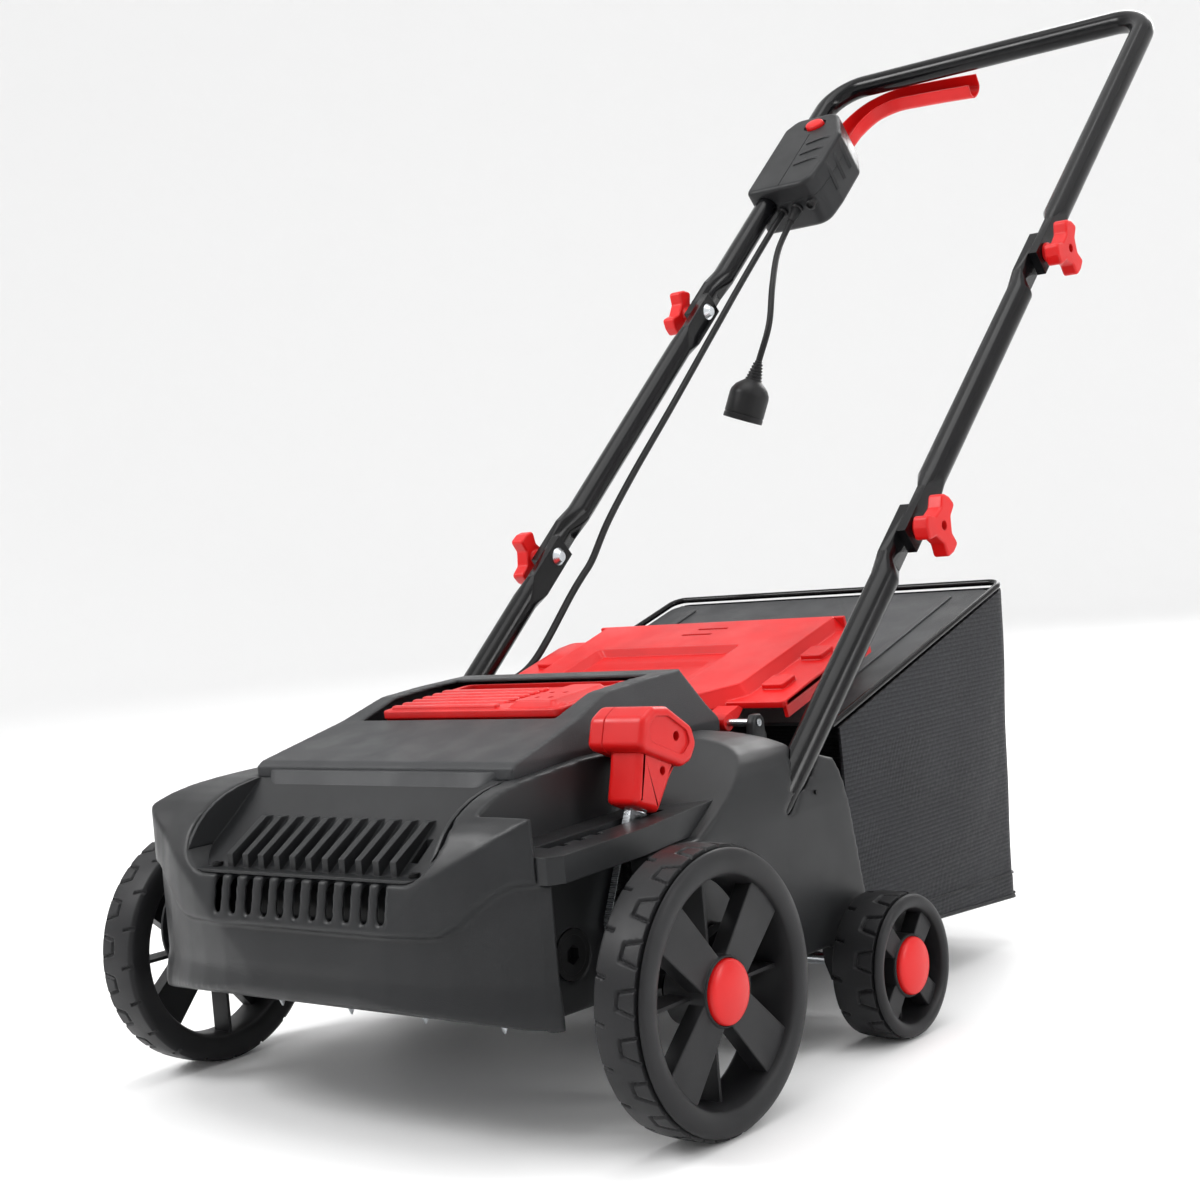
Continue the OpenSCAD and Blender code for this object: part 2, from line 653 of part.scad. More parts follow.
module switch_cover() color(grey) place() handle_frame() difference() {
  union() {
    linear_extrude(height = 18) box_outline();
    translate([0, 0, 18]) linear_extrude(height = 4) translate([-178, 912]) scale([0.93, 0.96])
      translate([178, -912]) box_outline();
    for (i = [0 : 2]) translate([-176, box_s0 + 50 + 22 * i, 21]) rotate([0, 0, -6]) cube([36, 5, 3]);
  }
  box_room();
  translate([-178, 962, 10]) scale([1.35, 1, 1]) cylinder(h = 20, r = 9.1);
}
module lock_button() color(red) place() handle_frame() translate([-178, 962, 16.5]) scale([1.35, 1, 1])
  cylinder(h = 10, r = 9);
module bail_lever() color(red) place() handle_frame() difference() {
  union() {
    // leg out of the box
    translate([-182, 956, -34.5]) cube([22, 115, 16.5]);
    // turn and bar under the cross bar
    translate([0, 1085.5, 0]) rotate([90, 0, 0]) linear_extrude(height = 29)
      polygon([[-182, -36], [-150, -36], [-28, -44.5], [-28, -23.5], [-150, -17], [-182, -17]]);
  }
  // channel that closes around the cross bar
  translate([0, 1083.7, 0]) rotate([90, 0, 0]) linear_extrude(height = 25.4)
    polygon([[-152, -33.8], [-20, -43], [-20, 0], [-152, 0]]);
}

// ---------------------------------------------------------------- cables
function bez(p, t) = let (u = 1 - t)
  u * u * u * p[0] + 3 * u * u * t * p[1] + 3 * u * t * t * p[2] + t * t * t * p[3];
// smooth route through hand-set points
function spline(p, n) = [
  for (i = [0 : len(p) - 2], k = [0 : n - 1])
    let (
      a = p[i],
      b = p[i + 1],
      ta = (i == 0 ? b - a : (b - p[i - 1]) / 2),
      tb = (i == len(p) - 2 ? b - a : (p[i + 2] - a) / 2)
    )
    bez([a, a + ta / 3, b - tb / 3, b], k / n),
  p[len(p) - 1]
];
module sweep(path, r, m) {
  n = len(path);
  tang = [for (i = [0 : n - 1]) unit(path[min(i + 1, n - 1)] - path[max(i - 1, 0)])];
  side = [for (t = tang) unit(cross(t, [0.31, 0.22, 0.92]))];
  up = [for (i = [0 : n - 1]) cross(side[i], tang[i])];
  pts = [
    for (i = [0 : n - 1], k = [0 : m - 1])
      path[i] + r * (cos(360 * k / m) * side[i] + sin(360 * k / m) * up[i])
  ];
  faces = concat(
    [[for (k = [0 : m - 1]) k]],
    [for (i = [0 : n - 2], k = [0 : m - 1])
      [i * m + k, (i + 1) * m + k, (i + 1) * m + (k + 1) % m, i * m + (k + 1) % m]],
    [[for (k = [m - 1 : -1 : 0]) (n - 1) * m + k]]
  );
  polyhedron(points = pts, faces = faces, convexity = 6);
}
function hp(x, s, n) = let (q = on_handle(s, n)) [x, q.x, q.y];
cable_r = 3.6;
cable_low_route = [
  [-184, 250, 218], [-184, 250, 232], [-184, 250, 246], [-184, 250, 254], [-184, 268, 272],
  [-184, 312, 282], [-185, 360, 300], hp(-185, 232, -31), hp(-185, 257, -31)
];
cable_mid_route = [
  hp(-185, 257.5, -31), hp(-185, 282, -31), hp(-186, 330, -24), hp(-186, 400, -20),
  hp(-186, 500, -18), hp(-186, 598, -15)
];
cable_top_route = [
  hp(-186, 645, -14), hp(-186, 700, -12), hp(-186, 770, -11), hp(-186, 820, -11), hp(-186, 838, -11)
];
module cable_low() color(black) place() sweep(spline(cable_low_route, 5), cable_r, 10);
module cable_mid() color(black) place() sweep(spline(cable_mid_route, 6), cable_r, 10);
module cable_top() color(black) place() sweep(spline(cable_top_route, 5), cable_r, 10);
module cable_gland() color(black) place() translate([-184, 250, 0]) difference() {
  union() {
    translate([0, 0, 220]) cylinder(h = 12.1, r = 5);
    translate([0, 0, 232.05]) cylinder(h = 7, r1 = 6.5, r2 = 5.4);
  }
  translate([0, 0, 200]) cylinder(h = 90, r = cable_r + fit);
}
cord_route = [
  hp(-166, 838, -10), hp(-166, 812, -12), [-156, 803, 718], [-137, 757, 674], [-127.2, 729.3, 629.4],
  [-140, 722, 590]
];
cord_r = 3.5;
module mains_cord() color(black) place() sweep(spline(cord_route, 7), cord_r, 8);
module mains_plug() color(black) place() translate(cord_route[5]) rotate([-10, 18, 0]) difference() {
  union() {
    translate([0, 0, -20.05]) cylinder(h = 20, r1 = 9, r2 = 6);
    translate([0, 0, -34]) cylinder(h = 14, r1 = 22, r2 = 10);
    translate([0, 0, -66]) cylinder(h = 32.1, r = 22);
  }
  translate([0, 0, -67]) cylinder(h = 33, r = 19.5);
}

deck_shell();
hood();
front_grille();
carry_grip();
lever_tray();
deck_screws();
bearing_blocks();
motor_can();
motor_mounts();
belt_cover();
drive_belt();
crank_bushes();
rear_brackets();
rear_axle();
flap_rod();
lower_tubes();
lower_bolts();
cable_gland();
cable_low();
rotor_shaft();
rotor_blades();
rotor_hub();
rotor_pulley();
motor_shaft();
motor_fan();
crank_axle();
lever_arm();
lever_grip();
lever_spring();
wheel_front_right();
cap_front_right();
wheel_front_left();
cap_front_left();
wheel_rear_right();
cap_rear_right();
wheel_rear_left();
cap_rear_left();
rear_flap();
bag_cloth();
bag_frame();
bag_panel();
bag_loop();
mid_tubes();
upper_bolts();
cable_mid();
handle_bar();
switch_base();
switch_cover();
cable_top();
bail_lever();
lock_button();
knob_lower_right();
knob_lower_left();
knob_upper_right();
knob_upper_left();
mains_cord();
mains_plug();
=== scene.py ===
"""Looks of the electric lawn dethatcher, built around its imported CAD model.

Lengths are in millimetres in the axle frame: x to the operator's right, y back from the front
axle, z up from the ground. at() turns them into the row frame's metres.
"""

import math

import bmesh
import bpy
import numpy as np
from mathutils import Matrix, Vector


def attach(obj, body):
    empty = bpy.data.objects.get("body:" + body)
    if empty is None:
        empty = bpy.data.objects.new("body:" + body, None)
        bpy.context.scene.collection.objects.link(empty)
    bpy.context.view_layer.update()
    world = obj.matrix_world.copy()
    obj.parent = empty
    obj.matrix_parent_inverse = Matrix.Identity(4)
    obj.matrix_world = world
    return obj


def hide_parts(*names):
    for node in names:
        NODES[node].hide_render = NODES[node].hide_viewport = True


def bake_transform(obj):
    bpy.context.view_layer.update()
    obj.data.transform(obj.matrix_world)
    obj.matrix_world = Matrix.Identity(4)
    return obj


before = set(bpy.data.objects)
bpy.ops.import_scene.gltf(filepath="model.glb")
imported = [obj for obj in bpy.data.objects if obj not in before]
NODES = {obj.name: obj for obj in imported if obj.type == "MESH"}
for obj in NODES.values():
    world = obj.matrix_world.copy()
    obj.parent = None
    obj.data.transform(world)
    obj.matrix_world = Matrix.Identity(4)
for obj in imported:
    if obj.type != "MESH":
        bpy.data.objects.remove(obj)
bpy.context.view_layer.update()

MM = 0.001
Y_MID = 469.39                     # middle of the length, back from the front axle
TILT = math.radians(41.1)          # of the handle tubes, from level
HANDLE_BASE = (229.0, 230.5)       # y and z of the tubes' sockets
TUBE_X = 203.6                     # tube centres, from the middle
LOW_BOLT, UP_BOLT = 255.0, 641.5   # folding joints, along the tubes
LEVER = (8, 140)                   # y and z of the depth lever's pivot
FLAP_SLOPE = math.radians(16.4)
LEVER_LEAN = math.radians(22.6)


# ------------------------------------------------------------------ places
def at(x, y, z):
    return Vector((x * MM, (y - Y_MID) * MM, z * MM))


def on_handle(x, s, n):
    """s runs up the handle tubes from their sockets, n stands square to them."""
    c, t = math.cos(TILT), math.sin(TILT)
    return at(x, HANDLE_BASE[0] + s * c - n * t, HANDLE_BASE[1] + s * t + n * c)


def side(u, v, w):
    """An outline in (y, z), drawn out along x."""
    return at(w, u, v)


def on_lever(u, v, w):
    c, s = math.cos(LEVER_LEAN), math.sin(LEVER_LEAN)
    return at(w, LEVER[0] + u * c + v * s, LEVER[1] - u * s + v * c)


def on_flap(u, v, w):
    c, s = math.cos(FLAP_SLOPE), math.sin(FLAP_SLOPE)
    return at(u, 236 + v * c - w * s, 262 + v * s + w * c)


def about(y, z, x0, sign=1):
    """Turned parts: u and v are across the x axis, w runs outwards from x0."""
    return lambda u, v, w: at(sign * (x0 + w), y + u, z + v)


# ------------------------------------------------------------------ materials
class Shader:
    """A small builder for node materials."""

    def __init__(self, name):
        self.mat = bpy.data.materials.new(name)
        self.mat.use_nodes = True
        self.tree = self.mat.node_tree
        self.bsdf = self.tree.nodes["Principled BSDF"]
        self.coords = self.node("ShaderNodeTexCoord").outputs["Object"]

    def node(self, kind, **values):
        n = self.tree.nodes.new(kind)
        for key, value in values.items():
            if hasattr(n, key):
                setattr(n, key, value)
            else:
                n.inputs[key.replace("_", " ")].default_value = value
        return n

    def link(self, a, b):
        self.tree.links.new(a, b)

    def noise(self, scale, detail=3.0, stretch=None):
        n = self.node("ShaderNodeTexNoise", Scale=scale, Detail=detail)
        source = self.coords
        if stretch:
            m = self.node("ShaderNodeMapping")
            m.inputs["Scale"].default_value = stretch
            self.link(self.coords, m.inputs["Vector"])
            source = m.outputs["Vector"]
        self.link(source, n.inputs["Vector"])
        return n.outputs["Fac"]

    def ramp(self, fac, low, high, a=0.35, b=0.65):
        r = self.node("ShaderNodeMapRange")
        r.inputs["From Min"].default_value, r.inputs["From Max"].default_value = a, b
        r.inputs["To Min"].default_value, r.inputs["To Max"].default_value = low, high
        self.link(fac, r.inputs["Value"])
        return r.outputs["Result"]

    def mix(self, fac, a, b):
        m = self.node("ShaderNodeMix", data_type="RGBA")
        for i, c in ((6, a), (7, b)):
            if isinstance(c, tuple):
                m.inputs[i].default_value = (*c, 1)
            else:
                self.link(c, m.inputs[i])
        self.link(fac, m.inputs[0])
        return m.outputs[2]

    def bump(self, height, distance, strength=1.0, normal=None):
        b = self.node("ShaderNodeBump", Distance=distance, Strength=strength)
        self.link(height, b.inputs["Height"])
        if normal:
            self.link(normal, b.inputs["Normal"])
        return b.outputs["Normal"]

    def edge(self, radius):
        """Normal rounded over sharp edges, and a mask of those edges."""
        bevel = self.node("ShaderNodeBevel", samples=4, Radius=radius)
        plain = self.node("ShaderNodeNewGeometry")
        dot = self.node("ShaderNodeVectorMath", operation="DOT_PRODUCT")
        self.link(bevel.outputs["Normal"], dot.inputs[0])
        self.link(plain.outputs["Normal"], dot.inputs[1])
        return bevel.outputs["Normal"], self.ramp(dot.outputs["Value"], 1.0, 0.0, 0.85, 0.99)


def scaled(color, k):
    return tuple(min(1.0, c * k) for c in color)


def moulding(name, color, rough, grain=0.00012, radius=0.0012, wear=1.5, shine=0.22, grain_scale=1400):
    s = Shader(name)
    tone = s.ramp(s.noise(9, 4), 0.0, 1.0)
    base = s.mix(tone, scaled(color, 0.88), scaled(color, 1.14))
    normal, edges = s.edge(radius)
    faint = s.node("ShaderNodeMath", operation="MULTIPLY")
    faint.inputs[1].default_value = 0.55
    s.link(edges, faint.inputs[0])
    base = s.mix(faint.outputs[0], base, scaled(color, wear))
    s.link(base, s.bsdf.inputs["Base Color"])
    smudge = s.ramp(s.noise(26, 5), rough * 0.85, rough * 1.2)
    s.link(smudge, s.bsdf.inputs["Roughness"])
    s.link(s.bump(s.noise(grain_scale, 2), grain, 1.0, normal), s.bsdf.inputs["Normal"])
    s.bsdf.inputs["Specular IOR Level"].default_value = shine
    return s.mat


def metal(name, color, rough, scratch=(1, 60, 60), radius=0.0006):
    s = Shader(name)
    tone = s.ramp(s.noise(30, 5), 0.0, 1.0)
    s.link(s.mix(tone, scaled(color, 0.82), scaled(color, 1.08)), s.bsdf.inputs["Base Color"])
    s.bsdf.inputs["Metallic"].default_value = 1.0
    s.link(s.ramp(s.noise(60, 6, scratch), rough * 0.7, rough * 1.4), s.bsdf.inputs["Roughness"])
    normal, _ = s.edge(radius)
    s.link(s.bump(s.noise(240, 4, scratch), 0.00005, 0.6, normal), s.bsdf.inputs["Normal"])
    return s.mat


def lacquer(name, color):
    s = Shader(name)
    s.link(s.mix(s.ramp(s.noise(14, 3), 0.0, 1.0), scaled(color, 0.8), scaled(color, 1.3)),
           s.bsdf.inputs["Base Color"])
    s.link(s.ramp(s.noise(40, 4), 0.16, 0.27), s.bsdf.inputs["Roughness"])
    normal, _ = s.edge(0.0006)
    s.link(s.bump(s.noise(260, 2), 0.00006, 0.5, normal), s.bsdf.inputs["Normal"])
    s.bsdf.inputs["Coat Weight"].default_value = 0.06
    s.bsdf.inputs["Coat Roughness"].default_value = 0.06
    s.bsdf.inputs["Specular IOR Level"].default_value = 0.18
    return s.mat


def weave(name, color, pitch_z, pitch_y, depth):
    """Cloth with strong ribs across z and a finer crossing thread."""
    s = Shader(name)
    ribs = []
    for direction, pitch in (("Z", pitch_z), ("Y", pitch_y), ("X", pitch_y)):
        w = s.node("ShaderNodeTexWave", wave_type="BANDS", bands_direction=direction,
                   Scale=0.314 / pitch, Distortion=0.25, Detail=2.0)
        w.inputs["Detail Scale"].default_value = 3.0
        s.link(s.coords, w.inputs["Vector"])
        ribs.append(w.outputs["Fac"])
    cross = s.node("ShaderNodeMath", operation="MAXIMUM")
    s.link(ribs[1], cross.inputs[0])
    s.link(ribs[2], cross.inputs[1])
    both = s.node("ShaderNodeMath", operation="MULTIPLY_ADD")
    s.link(cross.outputs[0], both.inputs[0])
    both.inputs[1].default_value = 0.35
    s.link(ribs[0], both.inputs[2])
    tone = s.mix(both.outputs[0], scaled(color, 0.35), scaled(color, 1.9))
    cloud = s.mix(s.ramp(s.noise(14, 4), 0.0, 1.0), scaled(color, 0.7), scaled(color, 1.5))
    blend = s.node("ShaderNodeMix", data_type="RGBA")
    blend.inputs[0].default_value = 0.35
    s.link(tone, blend.inputs[6])
    s.link(cloud, blend.inputs[7])
    s.link(blend.outputs[2], s.bsdf.inputs["Base Color"])
    s.link(s.ramp(s.noise(300, 3), 0.62, 0.82), s.bsdf.inputs["Roughness"])
    s.link(s.bump(both.outputs[0], depth), s.bsdf.inputs["Normal"])
    s.bsdf.inputs["Sheen Weight"].default_value = 0.1
    s.bsdf.inputs["Specular IOR Level"].default_value = 0.2
    return s.mat


GREY = moulding("deck plastic", (0.014, 0.0145, 0.0155), 0.36, wear=2.2)
# a lighter copy of the deck plastic for the hood, the nose panel and the bag lid, the faces turned to the
# lamps: painted light
GREY_PAINTED_LIGHT = moulding("deck plastic with painted light", (0.03, 0.031, 0.033), 0.42, grain=0.00025, wear=1.8)
DARK = moulding("black plastic", (0.006, 0.006, 0.0065), 0.5, radius=0.0008)
WHEEL = moulding("wheel plastic", (0.011, 0.011, 0.012), 0.44, grain=0.0001, radius=0.0008, wear=2.2)
RED = moulding("red plastic", (0.56, 0.006, 0.006), 0.33, grain=0.00006, wear=1.12, shine=0.3)
RUBBER = moulding("rubber", (0.007, 0.007, 0.0075), 0.42, grain=0.0001, radius=0.0005)
PAINT = lacquer("tube paint", (0.003, 0.003, 0.0035))
ZINC = metal("zinc plated steel", (0.70, 0.73, 0.76), 0.26)
STEEL = metal("pressed steel", (0.36, 0.37, 0.38), 0.42)
CLOTH = weave("bag cloth", (0.009, 0.0095, 0.0115), 0.0036, 0.0024, 0.0005)
WEBBING = weave("webbing", (0.012, 0.012, 0.013), 0.002, 0.002, 0.0003)


# ------------------------------------------------------------------ mesh tools
def build(name, verts, faces, body, material, slot=None, sharp=38, weighted=True, replaces=()):
    """A finished piece from points that are already in the row frame."""
    mesh = bpy.data.meshes.new(name)
    mesh.from_pydata([tuple(v) for v in verts], [], faces)
    bm = bmesh.new()
    bm.from_mesh(mesh)
    bmesh.ops.remove_doubles(bm, verts=bm.verts, dist=1e-6)
    bmesh.ops.recalc_face_normals(bm, faces=bm.faces)
    bm.to_mesh(mesh)
    bm.free()
    obj = bpy.data.objects.new(name, mesh)
    bpy.context.scene.collection.objects.link(obj)
    dress(obj, material, sharp, weighted)
    if body:
        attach(obj, body)
    if replaces:
        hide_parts(*replaces)
    return obj


def dress(obj, material, sharp=38, weighted=True):
    mesh = obj.data
    mesh.materials.clear()
    mesh.materials.append(material)
    mesh.shade_smooth()
    mesh.set_sharp_from_angle(angle=math.radians(sharp))
    if weighted:
        m = obj.modifiers.new("weighted", "WEIGHTED_NORMAL")
        m.keep_sharp, m.weight = True, 80


def circle(r, n=32, cu=0.0, cv=0.0, ru=None):
    ru = r if ru is None else ru
    return [(cu + ru * math.cos(2 * math.pi * i / n), cv + r * math.sin(2 * math.pi * i / n))
            for i in range(n)]


def rotated(points, a):
    return [(u * math.cos(a) - v * math.sin(a), u * math.sin(a) + v * math.cos(a)) for u, v in points]


def area(p):
    return sum(a[0] * b[1] - b[0] * a[1] for a, b in zip(p, p[1:] + p[:1])) / 2


def fillet(points, radius, n=5):
    """Rounds each corner of an outline. radius is one number, or one for each corner."""
    out, count = [], len(points)
    for i, p in enumerate(points):
        r = radius[i] if isinstance(radius, (list, tuple)) else radius
        a, b, c = Vector(points[i - 1]), Vector(p), Vector(points[(i + 1) % count])
        u, v = (a - b), (c - b)
        angle = u.angle(v)
        if r < 0.01 or angle > math.radians(175):
            out.append((b.x, b.y))
            continue
        back = min(r / math.tan(angle / 2), u.length * 0.48, v.length * 0.48)
        s, e = b + u.normalized() * back, b + v.normalized() * back
        for k in range(n + 1):
            t = k / n
            q = s.lerp(b, t).lerp(b.lerp(e, t), t)
            out.append((q.x, q.y))
    return out


def inset(points, d):
    """Each corner of an outline moved inwards by d."""
    turn = 1 if area(points) > 0 else -1
    out, n = [], len(points)
    for i in range(n):
        a, b, c = (Vector(points[(i + k - 1) % n]) for k in range(3))
        u, v = (b - a).normalized(), (c - b).normalized()
        nu, nv = Vector((-u.y, u.x)) * turn, Vector((-v.y, v.x)) * turn
        m = (nu + nv) * d / max(0.3, 1 + nu.dot(nv))
        out.append((b.x + m.x, b.y + m.y))
    return out


def slab_mesh(outline, w0, w1, edge, place, steps=4):
    """A prism with rounded edges: edge is its radius at w0 and at w1."""
    e0, e1 = edge if isinstance(edge, tuple) else (edge, edge)
    rings = []
    for e, w, d in ((e0, w0, 1), (e1, w1, -1)):
        part = [(e * (1 - math.sin(a)), w + d * e * (1 - math.cos(a)))
                for a in (math.pi / 2 * k / steps for k in range(steps + 1))] if e > 0.01 else [(0, w)]
        rings += part if d > 0 else part[::-1]
    verts, n = [], len(outline)
    for d, w in rings:
        verts += [place(u, v, w) for u, v in inset(outline, d)]
    faces = [tuple(range(n))[::-1], tuple(range((len(rings) - 1) * n, len(rings) * n))]
    for r in range(len(rings) - 1):
        faces += [(r * n + i, r * n + (i + 1) % n, (r + 1) * n + (i + 1) % n, (r + 1) * n + i)
                  for i in range(n)]
    return verts, faces


def tapered_mesh(outline, top, w0, w1, edge, place, steps=3):
    """A block whose top outline differs from its bottom one, with a rounded top edge."""
    n, rings = len(outline), [(outline, w0)]
    for k in range(steps + 1):
        a = math.pi / 2 * k / steps
        rings.append((inset(top, edge * (1 - math.cos(a))), w1 - edge * (1 - math.sin(a))))
    verts = [place(u, v, w) for pts, w in rings for u, v in pts]
    faces = [tuple(range(n))[::-1], tuple(range((len(rings) - 1) * n, len(rings) * n))]
    for r in range(len(rings) - 1):
        faces += [(r * n + i, r * n + (i + 1) % n, (r + 1) * n + (i + 1) % n, (r + 1) * n + i)
                  for i in range(n)]
    return verts, faces


def turned_mesh(profile, place, n=64, closed=False):
    """Profile points (radius, w) turned about the w axis; r = 0 ends close on the axis."""
    verts, index, faces = [], [], []
    for r, w in profile:
        if r < 1e-6:
            index.append([len(verts)] * n)
            verts.append(place(0, 0, w))
        else:
            index.append(list(range(len(verts), len(verts) + n)))
            verts += [place(r * math.cos(2 * math.pi * i / n), r * math.sin(2 * math.pi * i / n), w)
                      for i in range(n)]
    rows = list(zip(index, index[1:] + index[:1])) if closed else list(zip(index, index[1:]))
    for a, b in rows:
        for i in range(n):
            j = (i + 1) % n
            f = []
            for k in (a[i], a[j], b[j], b[i]):
                if k not in f:
                    f.append(k)
            if len(f) > 2:
                faces.append(tuple(f))
    return verts, faces


def smooth_path(points, n):
    """Points along a smooth route through given points, as in the CAD source."""
    out, last = [], len(points) - 1
    p = [Vector(q) for q in points]
    for i in range(last):
        a, b = p[i], p[i + 1]
        ta = b - a if i == 0 else (b - p[i - 1]) / 2
        tb = b - a if i == last - 1 else (p[i + 2] - a) / 2
        c, d = a + ta / 3, b - tb / 3
        for k in range(n):
            t, u = k / n, 1 - k / n
            out.append(a * u ** 3 + c * 3 * u * u * t + d * 3 * u * t * t + b * t ** 3)
    return out + [p[last]]


def swept_mesh(path, section, up=(0, 0, 1), scale=None):
    """Section points (across, up) carried along a path in the row frame."""
    verts, faces, m, n = [], [], len(section), len(path)
    up = Vector(up)
    for i, p in enumerate(path):
        t = (path[min(i + 1, n - 1)] - path[max(i - 1, 0)]).normalized()
        a = t.cross(up).normalized()
        b = a.cross(t)
        k = scale(i / (n - 1)) if scale else 1.0
        verts += [p + (a * u + b * v) * MM * k for u, v in section]
        up = b
    faces.append(tuple(range(m))[::-1])
    faces.append(tuple(range((n - 1) * m, n * m)))
    for i in range(n - 1):
        faces += [(i * m + k, i * m + (k + 1) % m, (i + 1) * m + (k + 1) % m, (i + 1) * m + k)
                  for k in range(m)]
    return verts, faces


def joined(*parts):
    verts, faces = [], []
    for v, f in parts:
        k = len(verts)
        verts += list(v)
        faces += [tuple(i + k for i in face) for face in f]
    return verts, faces


def raw(name, part):
    """A bare object, used for cutting."""
    mesh = bpy.data.meshes.new(name)
    mesh.from_pydata([tuple(v) for v in part[0]], [], part[1])
    bm = bmesh.new()
    bm.from_mesh(mesh)
    bmesh.ops.recalc_face_normals(bm, faces=bm.faces)
    bm.to_mesh(mesh)
    bm.free()
    obj = bpy.data.objects.new(name, mesh)
    bpy.context.scene.collection.objects.link(obj)
    return obj


def combine(part, cutters, operation="DIFFERENCE"):
    """part with each cutter taken away (or added), as points and faces."""
    obj = raw("stock", part)
    tools = [raw("tool", c) for c in cutters]
    for t in tools:
        m = obj.modifiers.new("cut", "BOOLEAN")
        m.operation, m.solver, m.object = operation, "EXACT", t
    deps = bpy.context.evaluated_depsgraph_get()
    mesh = bpy.data.meshes.new_from_object(obj.evaluated_get(deps))
    verts = [v.co.copy() for v in mesh.vertices]
    faces = [tuple(p.vertices) for p in mesh.polygons]
    for o in [obj, *tools]:
        bpy.data.objects.remove(o)
    bpy.data.meshes.remove(mesh)
    return verts, faces


def box_outline(u0, u1, v0, v1):
    return [(u0, v0), (u1, v0), (u1, v1), (u0, v1)]


# ------------------------------------------------------------------ camera and light
def make_camera():
    azimuth, elevation, roll = math.radians(39.3), math.radians(1.8), math.radians(-5.0)
    back = Vector((math.sin(azimuth) * math.cos(elevation),
                   -math.cos(azimuth) * math.cos(elevation), math.sin(elevation)))
    level = Vector((math.cos(azimuth), math.sin(azimuth), 0))
    above = back.cross(level)
    right = level * math.cos(roll) + above * math.sin(roll)
    up = -level * math.sin(roll) + above * math.cos(roll)
    data = bpy.data.cameras.new("camera")
    data.lens, data.sensor_width = 57.94, 36
    data.clip_start, data.clip_end = 0.05, 60
    camera = bpy.data.objects.new("camera", data)
    turn = Matrix((right, up, back)).transposed().to_4x4()
    camera.matrix_world = Matrix.Translation(at(1051.37, -1042.36, 412.04)) @ turn
    bpy.context.scene.collection.objects.link(camera)
    bpy.context.scene.camera = camera


def area_light(name, place, target, size, power, size_y=None):
    data = bpy.data.lights.new(name, "AREA")
    data.energy, data.size = power, size
    if size_y:
        data.shape, data.size_y = "RECTANGLE", size_y
    light = bpy.data.objects.new(name, data)
    light.location = place
    light.rotation_euler = (Vector(target) - Vector(place)).to_track_quat("-Z", "Y").to_euler()
    bpy.context.scene.collection.objects.link(light)


def make_stage():
    profile = [(0, 0), (3000, 0), (5200, 0)]
    profile += [(5200 + 2600 * math.sin(a), 2600 - 2600 * math.cos(a))
                for a in (math.pi / 2 * k / 16 for k in range(1, 17))] + [(7800, 7000)]
    verts, faces = turned_mesh(profile, lambda u, v, w: Vector((u * MM, v * MM, w * MM)), 96)
    s = Shader("pale floor")
    s.link(s.mix(s.noise(400, 2), (0.87, 0.87, 0.87), (0.89, 0.89, 0.89)), s.bsdf.inputs["Base Color"])
    s.bsdf.inputs["Roughness"].default_value = 0.55
    floor = build("floor", verts, faces, None, s.mat, weighted=False)
    world = bpy.data.worlds.new("studio")
    world.use_nodes = True
    world.node_tree.nodes["Background"].inputs["Color"].default_value = (1, 1, 1, 1)
    world.node_tree.nodes["Background"].inputs["Strength"].default_value = 1.05
    bpy.context.scene.world = world
    bpy.context.scene.view_settings.view_transform = "Standard"
    area_light("key", (-1.8, -2.2, 2.6), (0, -0.2, 0.2), 1.2, 70)
    area_light("right", (3.0, 0.6, 1.5), (0, 0, 0.35), 0.6, 36, 2.0)
    area_light("back", (-0.4, 3.2, 2.4), (0, 0.2, 0.4), 1.8, 55)
    area_light("top", (0.2, -0.2, 3.4), (0, 0, 0), 2.2, 40)


make_camera()


# ------------------------------------------------------------------ cords
CORD_ROUTE = [on_handle(-166, 838, -10), on_handle(-166, 812, -12), at(-156, 803, 718),
              at(-137, 757, 674), at(-127.2, 729.3, 629.4), at(-140, 722, 590)]


